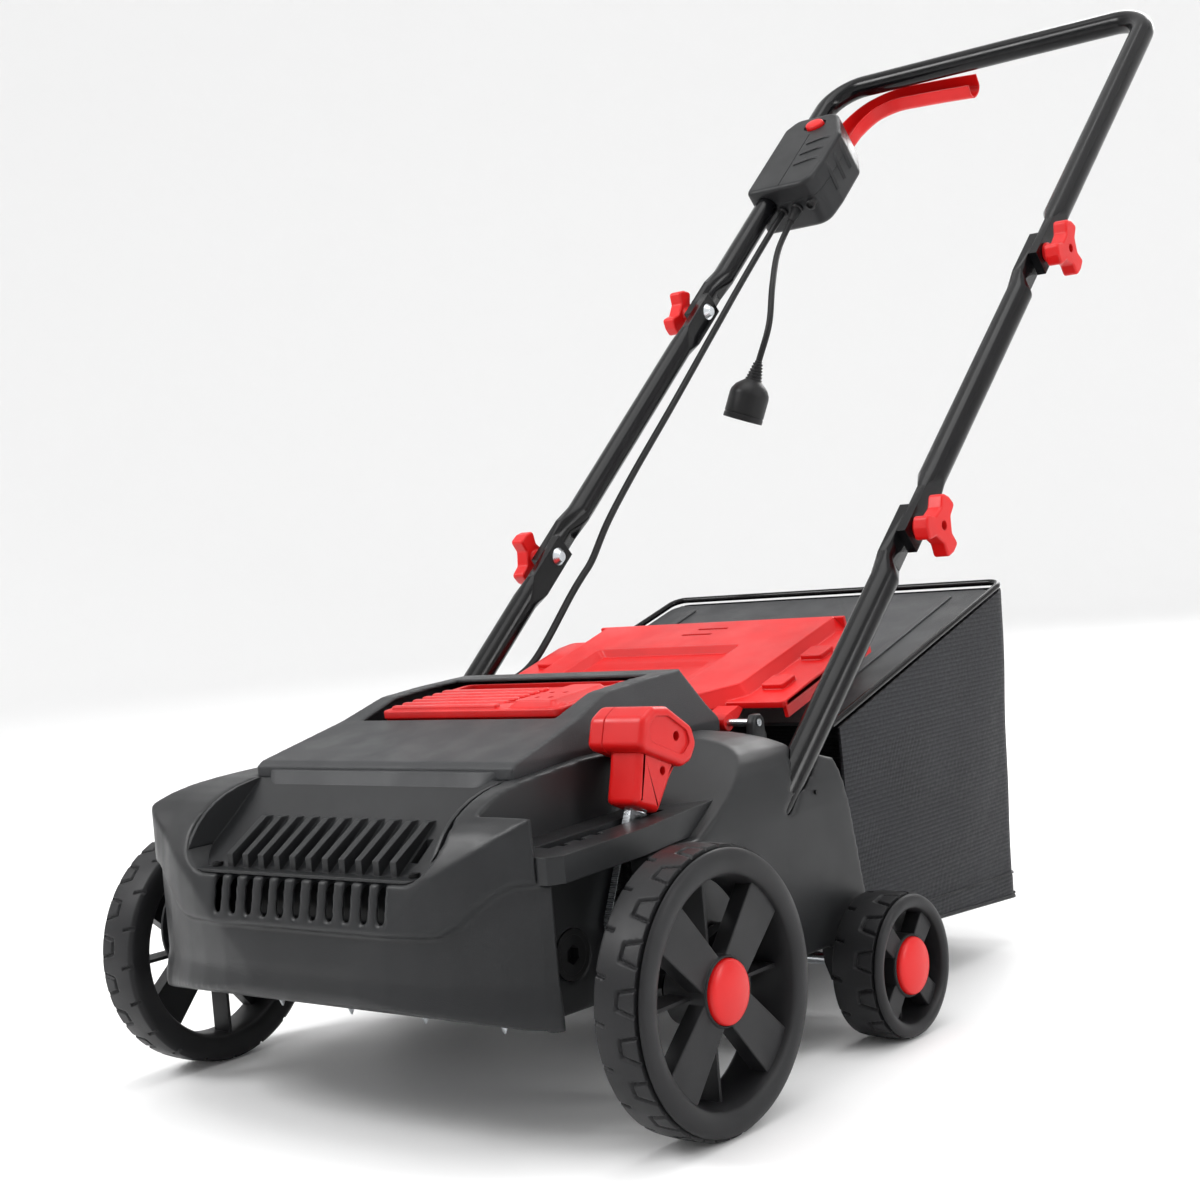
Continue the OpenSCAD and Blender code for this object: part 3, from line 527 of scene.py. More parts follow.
def make_cord():
    path = smooth_path(CORD_ROUTE, 8)
    length = sum((b - a).length for a, b in zip(path, path[1:]))
    cord = build("mains_lead", *swept_mesh(path, circle(3.5, 20), (1, 0, 0)), "top_handle", RUBBER,
                 "black_rubber", weighted=False, replaces=["mains_cord"])
    # plug: round inlet shroud, shoulder and ribbed strain relief
    turn = Matrix.Rotation(math.radians(18), 3, "Y") @ Matrix.Rotation(math.radians(-10), 3, "X")

    def on_plug(u, v, w):
        return at(*(Vector((-140, 722, 590)) + turn @ Vector((u, v, w))))

    profile = [(0, -40), (19.5, -40), (19.5, -64), (20.4, -66), (21.6, -66), (22, -65.4), (22, -61),
               (21.4, -60.6), (21.4, -59.6), (22, -59.2), (22, -38), (21.2, -34), (18, -28.5),
               (13.5, -24.5), (10.2, -22)]
    for k in range(6):
        w, r = -21 + 3.4 * k, 9.2 - 0.75 * k
        profile += [(r, w), (r, w + 2.0), (r - 1.5, w + 2.2), (r - 1.5, w + 3.2)]
    profile += [(4.2, 0.4), (3.4, 0.8), (0, 0.8)]
    body = turned_mesh(profile, on_plug, 48)
    key = slab_mesh(box_outline(-4, 4, 18, 22.8), -60, -38, 0.8, on_plug, 2)
    rib = slab_mesh(box_outline(-22.8, -20, -5, 5), -58, -36, 0.8, on_plug, 2)
    plug = build("inlet_plug", *joined(body, key, rib), "top_handle", RUBBER, "black_rubber",
                 replaces=["mains_plug"])
    relief = build("cord_relief", *swept_mesh([p for p in smooth_path(
        [on_handle(-166, 839, -10), on_handle(-166, 826, -11), on_handle(-166, 813, -12)], 5)],
        circle(6.4, 20), (1, 0, 0), lambda t: 1.0 - 0.32 * t - 0.05 * (int(t * 10) % 2)),
        "top_handle", RUBBER, "black_rubber")
    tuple(CORD_ROUTE[0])


CABLE_ROUTE = [at(-184, 250, 222), at(-184, 250, 232), at(-184, 250, 246), at(-184, 250, 254),
               at(-184, 268, 272), at(-184, 312, 282), at(-185, 360, 300), on_handle(-185, 232, -31),
               on_handle(-185, 257, -31), on_handle(-185, 282, -31), on_handle(-186, 330, -24),
               on_handle(-186, 400, -20), on_handle(-186, 500, -18), on_handle(-186, 598, -15),
               on_handle(-186, 650, -13.5), on_handle(-186, 700, -12), on_handle(-186, 770, -11),
               on_handle(-186, 838, -11)]


def make_cable():
    """One cable from the deck to the switch box; its two lengths meet halfway up the middle tube."""
    steps, meeting_point = 12, 12
    path = smooth_path(CABLE_ROUTE, steps)
    half = steps * meeting_point
    for name, part, bodies, s0, s1, nodes in (
            ("cable_lower", path[:half + 2], ("chassis", "mid_handle"), LOW_BOLT - 18, LOW_BOLT + 30,
             ("cable_low", "cable_mid")),
            ("cable_upper", path[half:], ("mid_handle", "top_handle"), UP_BOLT - 34, UP_BOLT + 26,
             ("cable_top",))):
        cable = build(name, *swept_mesh(part, circle(3.6, 16), (1, 0, 0)), None, RUBBER, "black_rubber",
                      weighted=False)
        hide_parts(*nodes)
        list(bodies)
        on_handle(-185, s0, -20)
        on_handle(-185, s1, -20)
        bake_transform(cable)


# ------------------------------------------------------------------ wheels
def groove_depth(a, w, width, period):
    """Depth of the tread's thin grooves at the place a (along) and w (across), all in mm."""
    a = np.mod(a, period) - period / 2
    half, cut = 1.0, 2.2

    def line(p, q):
        d = np.array(q, float) - np.array(p, float)
        t = np.clip(((a - p[0]) * d[0] + (w - p[1]) * d[1]) / (d @ d), 0, 1)
        return np.hypot(a - p[0] - t * d[0], w - p[1] - t * d[1])

    k = period / 31.4
    near = np.minimum(line((-8.5 * k, width), (-6 * k, width - 13)),
                      np.minimum(line((-6 * k, width - 13), (5 * k, width - 14)),
                                 line((5 * k, width - 14), (9 * k, width))))
    b = np.mod(a + period, period) - period / 2
    slit = np.where(w < 10, np.abs(b - (w - 5) * 0.25), 9.0)
    near = np.minimum(near, slit)
    return cut * np.clip(1.6 - near / half, 0, 1)


def tyre_mesh(r, width, rim, periods, place):
    """Tread band with its grooves, the rounded side ring and the barrel inside the rim."""
    per = 2 * math.pi * r / periods
    along = int(round(per / 0.95)) * periods
    theta = np.arange(along) * 2 * math.pi / along
    across = np.linspace(0, width - 7.5, int((width - 7.5) / 0.95) + 1)
    rows = []
    inner = [(r - rim, 5), (r - rim + 1.5, 2), (r - rim + 4, 0.6), (r - 8, 0.3), (r - 4, 0.8)]
    rows += [(np.full(along, q), np.full(along, w)) for q, w in inner]
    for w in across:
        crown = 1.2 * ((w - width / 2) / (width / 2)) ** 2
        shoulder = 2.2 * max(0, 1 - w / 2.2) ** 2
        d = groove_depth(theta * r, w, width - 7.5, per)
        rows.append((r - crown - shoulder - d, np.full(along, w + 1.2)))
    last = width - 6.3
    outer = [(r - 2.6, last), (r - 5.2, last + 0.2), (r - 5.4, last + 1.6), (r - 3.4, last + 1.8),
             (r - 2.6, last + 2.4)]
    ring = [(r - rim * 0.52 + (rim * 0.40) * math.cos(b), last + 2.2 + 4.1 * math.sin(b))
            for b in (math.radians(q) for q in range(0, 181, 15))]
    outer += ring + [(r - rim, last - 2), (r - rim - 0.4, last - 12)]
    rows += [(np.full(along, q), np.full(along, w)) for q, w in outer]
    verts = []
    for q, w in rows:
        verts += [place(a, b, c) for a, b, c in zip(q * np.cos(theta), q * np.sin(theta), w)]
    count, faces = len(rows), []
    for i in range(count):
        j = (i + 1) % count
        for k in range(along):
            l = (k + 1) % along
            faces.append((i * along + k, i * along + l, j * along + l, j * along + k))
    return verts, faces


def make_wheel(name, y, z, outer_x, sign, r, width, rim, periods, spoke, body, nodes, hub=25.0):
    place = about(y, z, outer_x - width, sign)
    build("tyre_" + name, *tyre_mesh(r, width, rim, periods, place), body, WHEEL, "wheel_plastic",
          sharp=50, weighted=False, replaces=nodes[:1])
    spokes = []
    reach = r - rim + 2
    for k in range(4):
        a = math.radians(45 + 90 * k)
        face = [(8, -spoke * 0.42), (reach, -spoke * 0.56), (reach, spoke * 0.56), (8, spoke * 0.42)]
        spokes.append(slab_mesh(rotated(face, a), width - 19, width - 5.5, (0.3, 1.3), place, 3))
        web = [(10, -1.4), (reach, -1.4), (reach, 1.4), (10, 1.4)]
        spokes.append(slab_mesh(rotated(web, a + math.pi / 4), 5, width - 17, 0.4, place, 2))
    hub_profile = [(8, 2), (hub - 1, 2), (hub, 3), (hub, width - 6), (hub - 0.6, width - 4.4),
                   (hub - 1.4, width - 3.9), (23.2, width - 3.9), (22.9, width - 4.4), (22.9, width - 8),
                   (8, width - 8)]
    spokes.append(turned_mesh(hub_profile, place, 64, closed=True))
    build("spokes_" + name, *joined(*spokes), body, WHEEL, "wheel_plastic")
    cap = [(0, width + 2.6), (6, width + 2.5), (12, width + 2.0), (18, width + 0.9), (21, width - 0.3),
           (22.2, width - 1.4), (22.6, width - 3), (22.6, width - 6), (0, width - 6)]
    build("cap_" + name, *turned_mesh(cap, place, 64), body, RED, "red_plastic", replaces=nodes[1:])


def make_wheels():
    for side_name, sign in (("right", 1), ("left", -1)):
        make_wheel("front_" + side_name, 0, 100, 283.2, sign, 100, 42.1, 23, 20, 33,
                   "front_wheel_" + side_name, ["wheel_front_" + side_name, "cap_front_" + side_name])
        make_wheel("rear_" + side_name, 261.3, 57.5, 271.0, sign, 57.5, 44, 14, 12, 18,
                   "rear_wheel_" + side_name, ["wheel_rear_" + side_name, "cap_rear_" + side_name])


# ------------------------------------------------------------------ depth lever
def make_lever():
    head = fillet([(-31, 121), (-26, 118), (22, 119), (31, 126), (34, 140), (25, 151), (-7, 157),
                   (-24, 152), (-33, 141)], 9, 5)
    inner = slab_mesh(head, 151, 166.2, (6, 0.5), on_lever, 5)
    outer = slab_mesh(head, 166.8, 203, (0.5, 5), on_lever, 5)
    seam = slab_mesh(inset(head, 1.0), 165.6, 167.4, 0.1, on_lever, 1)
    face = fillet([(-22, 127), (18, 127), (25, 139), (18, 146), (-6, 150), (-20, 146), (-25, 138)], 7, 5)
    outer = combine(outer, [slab_mesh(face, 201.2, 206, 0.1, on_lever, 1),
                            slab_mesh(circle(3.6, 24, 9, 139), 190, 206, 0.1, on_lever, 1)])
    stem_line = fillet([(-18, 81), (10, 81), (17, 108), (24, 126), (-25, 126), (-21, 106)], 5, 4)
    stem = combine(slab_mesh(stem_line, 167, 197, 6, on_lever, 5),
                   [slab_mesh(circle(3.2, 24, 5, 112), 188, 200, 0.1, on_lever, 1)])
    build("lever_handle", *joined(inner, outer, seam, stem), "depth_lever", RED, "red_plastic",
          sharp=42, replaces=["lever_grip"])
    coil = [on_lever(5.2 * math.cos(a) - 2, 78 + a * 0.42, 187 + 5.2 * math.sin(a))
            for a in (math.pi / 8 * k for k in range(96))]
    build("lever_wire", *swept_mesh(coil, circle(0.7, 8), (1, 0, 0)), "depth_lever", ZINC,
          "bright_steel", weighted=False, replaces=["lever_spring"])


# ------------------------------------------------------------------ knobs
def make_knobs():
    x0 = TUBE_X + 0.1 + 8.7 + 0.2
    arm = [(13, -8.5), (26, -11), (28, 0), (26, 11), (13, 8.5)]
    lobes = fillet([p for k in range(3) for p in rotated(arm, 2 * math.pi * k / 3)], 4.5, 5)
    for level, s in (("lower", LOW_BOLT), ("upper", UP_BOLT)):
        for side_name, sign in (("right", 1), ("left", -1)):
            turn = math.radians({"lower_right": 20, "upper_right": 35, "lower_left": 75,
                                 "upper_left": 50}[level + "_" + side_name])

            def place(u, v, w, sign=sign, s=s, turn=turn):
                a, b = rotated([(u, v)], turn)[0]
                return on_handle(sign * (x0 + w), s + a, b)

            star = slab_mesh(lobes, 11, 26, 2.2, place, 4)
            star = combine(star, [slab_mesh(circle(4.4, 24), 18, 30, 0.1, place, 1)])
            neck = turned_mesh([(4.1, 0.2), (9.4, 0.2), (9.4, 2.5), (8, 4), (8, 9), (10, 12), (4.1, 12)],
                               place, 40, closed=True)
            spot = "knob_" + level + "_" + side_name
            body = "knob_" + {"lower": "low_", "upper": "top_"}[level] + side_name
            build("star_" + spot, *joined(star, neck), body, RED, "red_plastic", sharp=42,
                  replaces=[spot])


# ------------------------------------------------------------------ switch box and bail
BOX = dict(x0=-224, x1=-132, s0=838, s1=985)


def box_outline_points(grow=0.0):
    b = BOX
    pts = [(b["x0"], b["s0"]), (b["x1"] - 4, b["s0"]), (b["x1"], b["s0"] + 40), (b["x1"], b["s0"] + 96),
           (b["x1"] - 24, b["s1"]), (b["x0"] + 12, b["s1"]), (b["x0"], b["s1"] - 18)]
    return inset(fillet(pts, [10, 22, 14, 16, 20, 16, 10], 6), -grow)


def make_switch_box():
    tube = turned_mesh([(12.7, 0), (12.7, 200)], lambda u, v, w: on_handle(-TUBE_X + u, 820 + w, v), 40)
    tube = (tube[0], tube[1] + [tuple(range(40))[::-1], tuple(range(40, 80))])
    mouth = slab_mesh(box_outline(-185, -157, 955, 1000), -38, -11.4, 0.1, on_handle, 1)
    base = combine(slab_mesh(box_outline_points(), -40, -0.4, (6, 0.5), on_handle, 5), [tube, mouth])
    build("box_base", *base, "top_handle", GREY, "deck_plastic", replaces=["switch_base"])
    dish = slab_mesh(circle(11.2, 40, -178, 962, 15), 19.6, 30, 0.1, on_handle, 1)
    well = slab_mesh(circle(9.05, 40, -178, 962, 12.2), 5, 30, 0.1, on_handle, 1)
    seam = slab_mesh(box_outline(-179, -177.8, 842, 944), 21.2, 30, 0.1, on_handle, 1)
    cover = combine(slab_mesh(box_outline_points(), -0.2, 22, (0.5, 5.5), on_handle, 6),
                    [tube, dish, well, seam])
    build("box_cover", *cover, "top_handle", GREY, "deck_plastic", replaces=["switch_cover"])
    # three raised ribs that run over the right half and down its side
    ribs = []
    for k in range(3):
        s = 884 + 21 * k
        path = [on_handle(-174, s - 3, 21.8), on_handle(-152, s + 3, 21.8), on_handle(-139, s + 1, 19.6),
                on_handle(-133.4, s - 2, 13), on_handle(-131.9, s - 5, 0), on_handle(-131.9, s - 6, -20)]
        ribs.append(swept_mesh(smooth_path(path, 5), [(-2.6, -2), (2.6, -2), (2.2, 1.2), (-2.2, 1.2)],
                               on_handle(0, 0, 1) - on_handle(0, 0, 0)))
    build("box_ribs", *joined(*ribs), "top_handle", GREY, "deck_plastic")
    button = [(0, 5.2), (5, 5.1), (7.4, 4.6), (8.5, 3.4), (8.9, 1.6), (8.9, -5), (0, -5)]
    build("button_cap", *turned_mesh(button, lambda u, v, w: on_handle(-178 + u * 1.35, 962 + v, 21.4 + w),
                                     48), "button", RED, "red_plastic", replaces=["lock_button"])
    ends = []
    for x, n, r in ((-166, -10, 7.2), (-186, -11, 6.2), (-146, -8, 6.4)):
        profile = [(3.7, 4), (r, 4), (r, -3), (r - 1, -4.2), (r - 1.6, -4.6), (3.7, -4.6)]
        ends.append(turned_mesh(profile, lambda u, v, w: on_handle(x + u, 838 + w, n + v), 32, closed=True))
    ends.append(turned_mesh([(0, 0), (3.6, 0), (3.6, 6), (0, 6)],
                            lambda u, v, w: on_handle(-146 + u, 836 + w, -8 + v), 24))
    pin = turned_mesh([(0, -8), (3, -8), (3, 0), (2.2, 0.8), (0, 0.8)],
                      lambda u, v, w: on_handle(-224 + w - 3, 905 + u, 2 + v), 24)
    build("box_glands", *joined(*ends, pin), "top_handle", RUBBER, "black_rubber")


def make_bail():
    path = smooth_path([on_handle(-171, 958, -26), on_handle(-171, 992, -26), on_handle(-169, 1022, -27),
                        on_handle(-155, 1052, -28), on_handle(-128, 1068, -29.5),
                        on_handle(-95, 1071, -32), on_handle(-60, 1071, -34),
                        on_handle(-28, 1071, -36.5)], 8)
    shell = [(14.5 * math.cos(a), 8.5 * math.sin(a) - 2) for a in
             (math.radians(q) for q in range(180, 361, 12))] + [(14.5, 10.5), (12.9, 10.5)]
    shell += [(12.9 * math.cos(a), 6.9 * math.sin(a) - 2) for a in
              (math.radians(q) for q in range(360, 179, -12))] + [(-12.9, 10.5), (-14.5, 10.5)]
    up = on_handle(0, 0, 1) - on_handle(0, 0, 0)
    build("bail_bar", *swept_mesh(path, shell, up, lambda t: min(1.0, 0.86 + 0.5 * t)),
          "bail", RED, "red_plastic", sharp=45, weighted=False, replaces=["bail_lever"])


# ------------------------------------------------------------------ rear flap
def make_flap():
    low, high = 9.0, 19.0
    wings = []
    for sign in (1, -1):
        line = [(sign * u, v) for u, v in ((118, 14), (176, 14), (176, 158), (168, 172), (118, 172))]
        wings.append(slab_mesh(fillet(line, [2, 5, 14, 10, 2], 4), -3, low - 6, 1.2, on_flap, 3))
        for v0, v1 in ((40, 62), (104, 126)):
            tab = fillet([(sign * 138, v0), (sign * 160, v0), (sign * 160, v1), (sign * 138, v1)], 3, 3)
            wings.append(slab_mesh(tab, 0, low - 1.5, 1.0, on_flap, 3))
        skirt = [(sign * 172.5, 16), (sign * 176, 16), (sign * 176, 156), (sign * 172.5, 156)]
        wings.append(slab_mesh(skirt, -12, 2, 0.6, on_flap, 2))
    outline = [(-136, 0), (100, 0), (136, 26), (138, 186), (-138, 186)]
    top = [(-126, 9), (97, 9), (126, 31), (130, 184), (-130, 184)]
    middle = tapered_mesh(fillet(outline, [4, 6, 6, 4, 4], 4), fillet(top, [5, 7, 7, 4, 4], 4),
                          0, high - 6, 2.0, on_flap, 3)
    cuts = [tapered_mesh(fillet(box_outline(-88, 62, 26, 118), 4, 3),
                         fillet(box_outline(-98, 70, 20, 124), 6, 3), 6.5, 16, 0.1, on_flap, 1),
            tapered_mesh(fillet(box_outline(-82, 44, 30, 96), 4, 3),
                         fillet(box_outline(-90, 50, 26, 104), 5, 3), 3.5, 9, 0.1, on_flap, 1)]
    cuts += [slab_mesh(fillet(box_outline(x0, x0 + 34, v0, v0 + 3.6), 1.7, 3), 9, 16, 0.1, on_flap, 1)
             for x0, v0 in ((-18, 150), (-8, 163))]
    middle = combine(middle, cuts)
    rear = slab_mesh(box_outline(-138, 138, 183, 186.5), -22, 12, 0.8, on_flap, 2)
    knuckles = []
    for x in (-138, -40, 18, 116):
        knuckles.append(slab_mesh(circle(7, 28, 224, 255), x, x + 22, 0.8, side, 2))
        arm = [(222, 249.5), (240, 258), (246, 264), (240, 267), (222, 261.5)]
        knuckles.append(slab_mesh(arm, x + 0.4, x + 21.6, 0.5, side, 2))
    build("flap_cover", *joined(middle, rear, *wings, *knuckles), "flap", RED, "red_plastic",
          sharp=32, replaces=["rear_flap"])


# ------------------------------------------------------------------ catcher bag
BAG_HW = 195.0
BAG_FRONT, BAG_BACK_LOW, BAG_BACK_HIGH = (300, 64, 240), (594, 44), (612, 334)


def bag_point(a, t):
    """Walls of the bag: a from 0 to 1 round the U from the left wall over the back to the right
    wall, t from 0 at the bottom to 1 at the top rim."""
    side_len, back_len = 300.0, 390.0
    total = 2 * side_len + back_len
    d = a * total
    corner = 16.0
    y0 = 302.0
    low = lambda y: 64 + (44 - 64) * (y - 300) / 294
    high = lambda y: 240 + (334 - 240) * (y - 300) / 312
    back = 594 + 18 * t
    if d < side_len:
        k, sx = d / side_len, -1
    elif d > side_len + back_len:
        k, sx = (total - d) / side_len, 1
    else:
        k, sx = None, 0
    bulge = math.sin(math.pi * t) ** 0.9
    if k is not None:
        y = y0 + (back - y0) * k
        x = sx * (BAG_HW - 0.5 + (2.2 * bulge * math.sin(math.pi * min(1, k * 1.05)) - 4 * (1 - t) * k))
        if k > 0.955:
            x -= sx * corner * 0.5 * ((k - 0.955) / 0.045) ** 2
            y -= 0.0
    else:
        m = (d - side_len) / back_len
        x = (m - 0.5) * 2 * (BAG_HW - 0.5)
        y = back + 2.0 * bulge * math.sin(math.pi * m)
        edge = min(m, 1 - m) * back_len
        x -= math.copysign(4 * (1 - t), m - 0.5) * abs(2 * m - 1)
        if edge < corner:
            q = 1 - edge / corner
            y -= corner * 0.5 * q ** 2
            x -= math.copysign(corner * 0.5 * q ** 2, m - 0.5)
    z = low(y) + (high(y) - low(y)) * t
    return x, y, z


def bag_wrinkle(x, y, z, t):
    """Slack of the cloth, in mm: long shallow folds that fade out at the wire and the hem."""
    fade = math.sin(math.pi * min(1, max(0, t))) ** 0.7
    a = math.sin(0.021 * y + 0.013 * z + 1.2) * math.sin(0.034 * z - 0.009 * y + 0.4)
    b = math.sin(0.05 * (y + x) - 0.02 * z) * 0.35
    return fade * (a + b) * 1.1


def make_bag():
    cols, rows = 150, 60
    outer, inner = [], []
    for j in range(rows + 1):
        for i in range(cols + 1):
            a, t = i / cols, j / rows
            x, y, z = bag_point(a, t)
            w = bag_wrinkle(x, y, z, t)
            nx = 0 if abs(x) < BAG_HW - 10 else math.copysign(1, x)
            ny = 1 - abs(nx)
            hem = 0.8 if t < 0.075 else 0.0
            push = min(2.0, w) + hem
            outer.append(at(x + nx * (push - 1.6), y + ny * (push - 1.6), z))
            inner.append(at(x - nx * 3.4, y - ny * 3.4, z))
    grid = lambda base: [(base + j * (cols + 1) + i, base + j * (cols + 1) + i + 1,
                          base + (j + 1) * (cols + 1) + i + 1, base + (j + 1) * (cols + 1) + i)
                         for j in range(rows) for i in range(cols)]
    n = (rows + 1) * (cols + 1)
    faces = grid(0) + [f[::-1] for f in grid(n)]
    top = rows * (cols + 1)
    for i in range(cols):
        faces.append((top + i, top + i + 1, n + top + i + 1, n + top + i))
        faces.append((i + 1, i, n + i, n + i + 1))
    for j in range(rows):
        a, b = j * (cols + 1), (j + 1) * (cols + 1)
        faces.append((a, b, n + b, n + a))
        faces.append((b + cols, a + cols, n + a + cols, n + b + cols))
    walls = (outer + inner, faces)
    # floor: a sheet that sags a little between its seams
    floor_pts, nx, ny = [], 40, 30
    for layer in (0, 2.0):
        for j in range(ny + 1):
            for i in range(nx + 1):
                u, v = i / nx * 2 - 1, j / ny
                y = 302 + (592 - 302) * v
                sag = 5 * (1 - u * u) * math.sin(math.pi * v)
                z = 64 - 20 * (y - 300) / 294 - sag + layer + 1.5
                floor_pts.append(at(u * (BAG_HW - 4 - 3.5 * v), y, z))
    m = (nx + 1) * (ny + 1)
    floor_faces = []
    for base, flip in ((0, True), (m, False)):
        for j in range(ny):
            for i in range(nx):
                f = (base + j * (nx + 1) + i, base + j * (nx + 1) + i + 1,
                     base + (j + 1) * (nx + 1) + i + 1, base + (j + 1) * (nx + 1) + i)
                floor_faces.append(f[::-1] if flip else f)
    rim = [i for i in range(nx)]
    for i in rim:
        floor_faces.append((i, i + 1, m + i + 1, m + i))
        k = ny * (nx + 1)
        floor_faces.append((k + i + 1, k + i, m + k + i, m + k + i + 1))
    for j in range(ny):
        a, b = j * (nx + 1), (j + 1) * (nx + 1)
        floor_faces.append((b, a, m + a, m + b))
        floor_faces.append((a + nx, b + nx, m + b + nx, m + a + nx))
    build("bag_walls", *joined(walls, (floor_pts, floor_faces)), "bag", CLOTH, "bag_fabric",
          sharp=60, weighted=False, replaces=["bag_cloth"])
    # piping along the lower seam and a thin cord along the top of the hem
    seam = [at(*bag_point(i / 120, 0.0)) for i in range(121)]
    mark = [at(*bag_point(i / 120, 0.078)) for i in range(121)]
    edge = [swept_mesh(seam, circle(1.7, 8)), swept_mesh(mark, circle(0.6, 6))]
    build("bag_piping", *joined(*edge), "bag", WEBBING, "bag_webbing", weighted=False)


def make_bag_top():
    c, s = math.cos(math.radians(16.78)), math.sin(math.radians(16.78))

    def on_top(u, v, w):
        return at(u, 300 + v * c - w * s, 242 + v * s + w * c)

    sheet = fillet(box_outline(-186.5, 186.5, 2, 309), [3, 3, 14, 14], 5)
    panel = slab_mesh(sheet, -0.6, 2.4, 1.0, on_top, 3)
    ribs = [slab_mesh(fillet(box_outline(x - 4, x + 4, 40, 292), 3.5, 4), 2, 4.2, 1.2, on_top, 3)
            for x in (-150, 150)]
    # the lid in the lighter copy of the deck plastic: painted light
    build("bag_lid", *joined(panel, *ribs), "bag", GREY_PAINTED_LIGHT, "deck_plastic", replaces=["bag_panel"])
    loop = [on_top(24 * math.cos(a), 176, 1 + 24 * math.sin(a) * 1.05)
            for a in (math.pi * k / 28 for k in range(29))]
    band = fillet([(-5, -2.6), (5, -2.6), (5, 2.6), (-5, 2.6)], 2, 3)
    pads = [slab_mesh(circle(9, 28, x, 176), 2, 5, 1.2, on_top, 3) for x in (-24, 24)]
    build("bag_grip", *joined(swept_mesh(loop, band, (0, 1, 0)), *pads), "bag", WEBBING, "bag_webbing",
          replaces=["bag_loop"])


# ------------------------------------------------------------------ carry grip
def make_carry_grip():
    def on_grip(u, v, w):
        k = math.radians(5.4)
        return at(u, 52 + v * math.cos(k) - w * math.sin(k), 284.5 + v * math.sin(k) + w * math.cos(k))

    plate = fillet(box_outline(-90, 101, 6, 112), [7, 7, 10, 10], 5)
    panel = slab_mesh(plate, -4, 2.5, (0.5, 1.6), on_grip, 4)
    bar = slab_mesh(fillet([(8, -9), (24, -9), (24, 4.4), (8, 2.6)], [6, 3, 3, 5], 6), -88, 98, 3.0,
                    lambda u, v, w: on_grip(w, u, v), 4)
    slot_cut = slab_mesh(fillet(box_outline(-83, 83, 90, 110), 8, 5), -8, 8, 0.1, on_grip, 1)
    panel = combine(panel, [slot_cut])
    parts = [panel, bar]
    for k in range(6):
        v0 = 10 + 12 * k
        rib = fillet(box_outline(-82, 34, v0, v0 + 7), 3, 4)
        parts.append(slab_mesh(rib, 1, 5.4, 1.8, on_grip, 4))
    wedge = [(42, 8), (96, 8), (96, 82), (54, 82)]
    lid = tapered_mesh(fillet(wedge, 4, 4), fillet(inset(wedge, 6), 4, 4), 1, 7.5, 1.0, on_grip, 3)
    holes = [slab_mesh(circle(2.4, 16, x, v), 4, 12, 0.1, on_grip, 1)
             for x, v in ((64, 26), (78, 26), (64, 44), (78, 44))]
    parts.append(combine(lid, holes))
    build("carry_panel", *joined(*parts), "chassis", RED, "red_plastic", replaces=["carry_grip"])


# ------------------------------------------------------------------ CAD nodes that stay
KEPT = {
    GREY: ["front_grille", "lever_tray", "belt_cover", "rear_brackets"],
    # rotor_hub is black so the well behind the bumper stays dark: painted shade
    DARK: ["bearing_blocks", "crank_bushes", "rotor_pulley", "motor_fan", "cable_gland",
           "deck_screws", "rotor_hub"],
    # crank_axle takes the black tube paint so the well behind the bumper stays dark: painted shade
    PAINT: ["lower_tubes", "mid_tubes", "handle_bar", "bag_frame", "crank_axle"],
    ZINC: ["rear_axle", "flap_rod", "lower_bolts", "upper_bolts", "rotor_shaft",
           "rotor_blades", "lever_arm"],
    STEEL: ["motor_can", "motor_mounts", "motor_shaft"],
    RUBBER: ["drive_belt"],
}
BEVELS = {"front_grille": 0.5, "lever_tray": 1.0, "belt_cover": 0.6}


def soften(node, name, voxel, rounds, share, material):
    """A moulding with every edge rounded: the CAD solid is remeshed, relaxed and thinned out."""
    obj = bpy.data.objects.new(name, NODES[node].data.copy())
    bpy.context.scene.collection.objects.link(obj)
    grid = obj.modifiers.new("grid", "REMESH")
    grid.mode, grid.voxel_size = "VOXEL", voxel * MM
    relax = obj.modifiers.new("relax", "SMOOTH")
    relax.factor, relax.iterations = 0.5, rounds
    thin = obj.modifiers.new("thin", "DECIMATE")
    thin.ratio = share
    deps = bpy.context.evaluated_depsgraph_get()
    mesh = bpy.data.meshes.new_from_object(obj.evaluated_get(deps))
    obj.modifiers.clear()
    obj.data = mesh
    dress(obj, material, 60, False)
    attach(obj, "chassis")
    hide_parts(node)
    return obj


def ease(t):
    t = np.clip(t, 0.0, 1.0)
    return t * t * (3 - 2 * t)


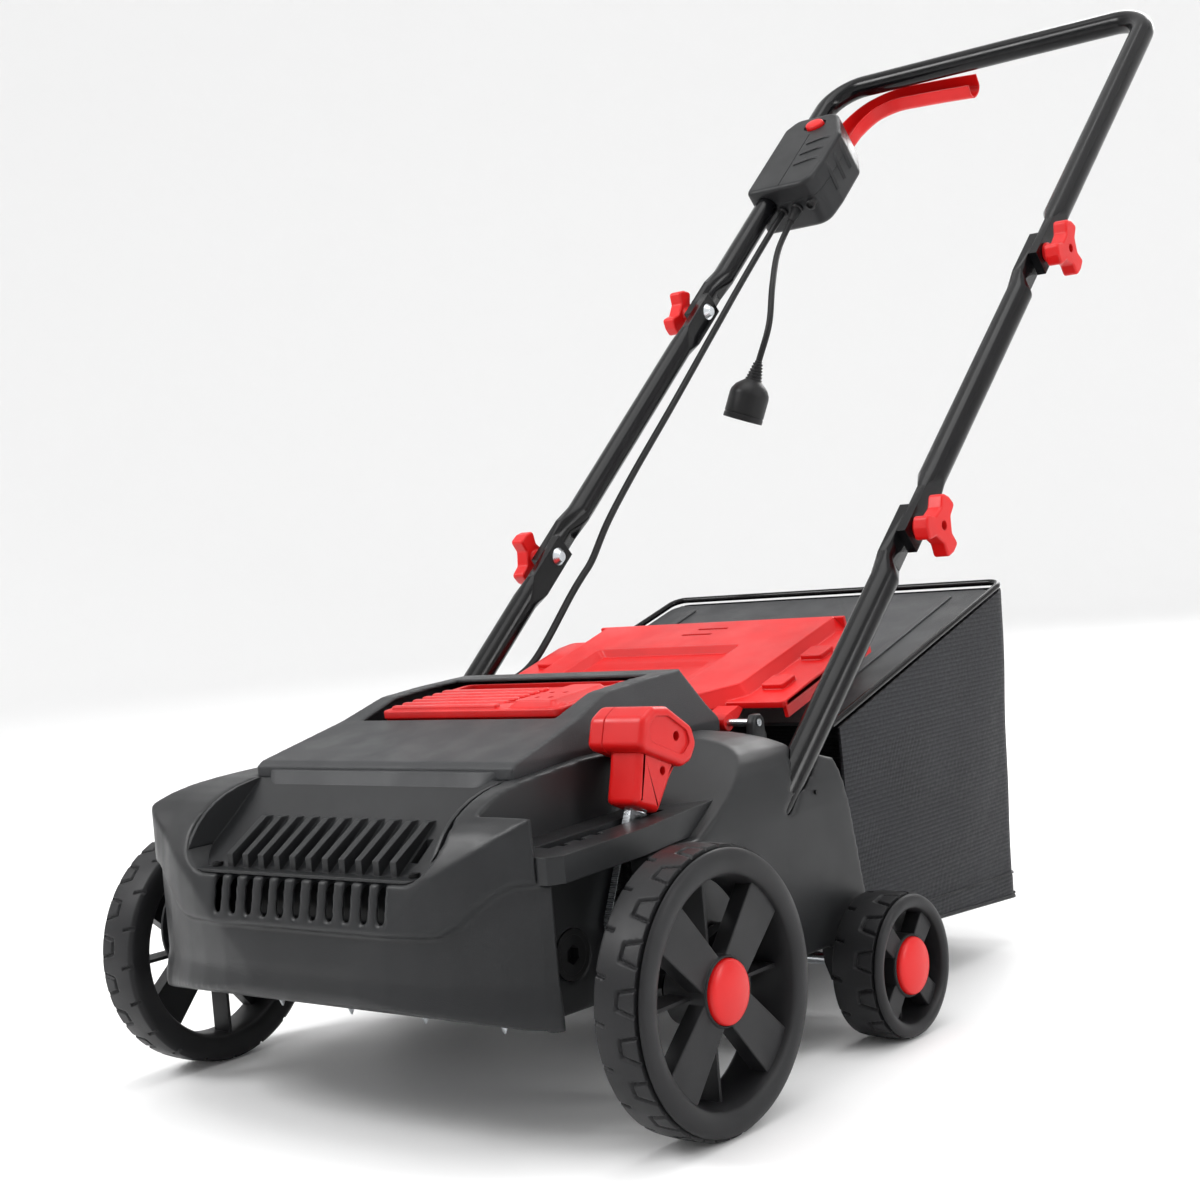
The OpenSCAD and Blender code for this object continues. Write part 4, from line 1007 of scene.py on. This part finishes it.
def shape_nose(co):
    """Bumper below a crease that rises to the fenders; co holds points in the axle frame, mm."""
    x, y, z = co[:, 0], co[:, 1], co[:, 2]
    crease = 156 + 34 * ease((np.abs(x) - 128) / 62)
    below = ease((crease - z) / 5)
    low = ease((z - 96) / 26)
    front = ease((-78 - y) / 24)
    out = co.copy()
    out[:, 1] += front * below * low * 5.5
    sides = ease((np.abs(x) - 196) / 12) * ease((-30 - y) / 20)
    out[:, 0] -= np.sign(x) * sides * below * low * 3.0
    # soft hollow in each fender beside the grille
    dent = np.exp(-((np.abs(x) - 168) / 22) ** 2 - ((z - 214) / 26) ** 2) * ease((-62 - y) / 22)
    out[:, 1] += dent * 3.5
    return out


def make_mouldings():
    deck = soften("deck_shell", "deck_moulding", 2.0, 10, 1.0, GREY)
    mesh = deck.data
    co = np.empty(len(mesh.vertices) * 3)
    mesh.vertices.foreach_get("co", co)
    co = co.reshape(-1, 3) / MM + np.array([0, Y_MID, 0])
    co = (shape_nose(co) - np.array([0, Y_MID, 0])) * MM
    mesh.vertices.foreach_set("co", co.ravel())
    mesh.update()
    # the hood in the lighter copy of the deck plastic: painted light
    soften("hood", "hood_moulding", 1.3, 7, 0.5, GREY_PAINTED_LIGHT)
    # upright panel between the hood's lip and the fins, in the lighter copy of the deck plastic: painted
    # light
    low = [(-121, -24), (-103, -69), (103, -69), (121, -24)]
    high = [(-131, -16), (-122, -41), (122, -41), (131, -16)]
    radii = [2, 22, 22, 2]
    panel = tapered_mesh(fillet(low, radii, 8), fillet(high, radii, 8), 208, 254, 2.0, at, 3)
    build("nose_panel", *panel, "chassis", GREY_PAINTED_LIGHT, "deck_plastic")


def dress_cad():
    for material, names in KEPT.items():
        for name in names:
            obj = NODES[name]
            mesh = obj.data
            mesh.materials.clear()
            mesh.materials.append(material)
            if "custom_normal" in mesh.attributes:
                mesh.attributes.remove(mesh.attributes["custom_normal"])
            mesh.shade_smooth()
            weld = obj.modifiers.new("weld", "WELD")
            weld.merge_threshold = 1e-5
            if name in BEVELS:
                b = obj.modifiers.new("round", "BEVEL")
                b.width, b.segments = BEVELS[name] * MM, 3
                b.limit_method, b.angle_limit = "ANGLE", math.radians(28)
                b.use_clamp_overlap = True
                b.harden_normals = True
            else:
                split = obj.modifiers.new("split", "EDGE_SPLIT")
                split.split_angle = math.radians(35)


make_cord()
make_cable()
dress_cad()
make_mouldings()
make_wheels()
make_lever()
make_knobs()
make_switch_box()
make_bail()
make_flap()
make_bag()
make_bag_top()
make_carry_grip()
make_stage()
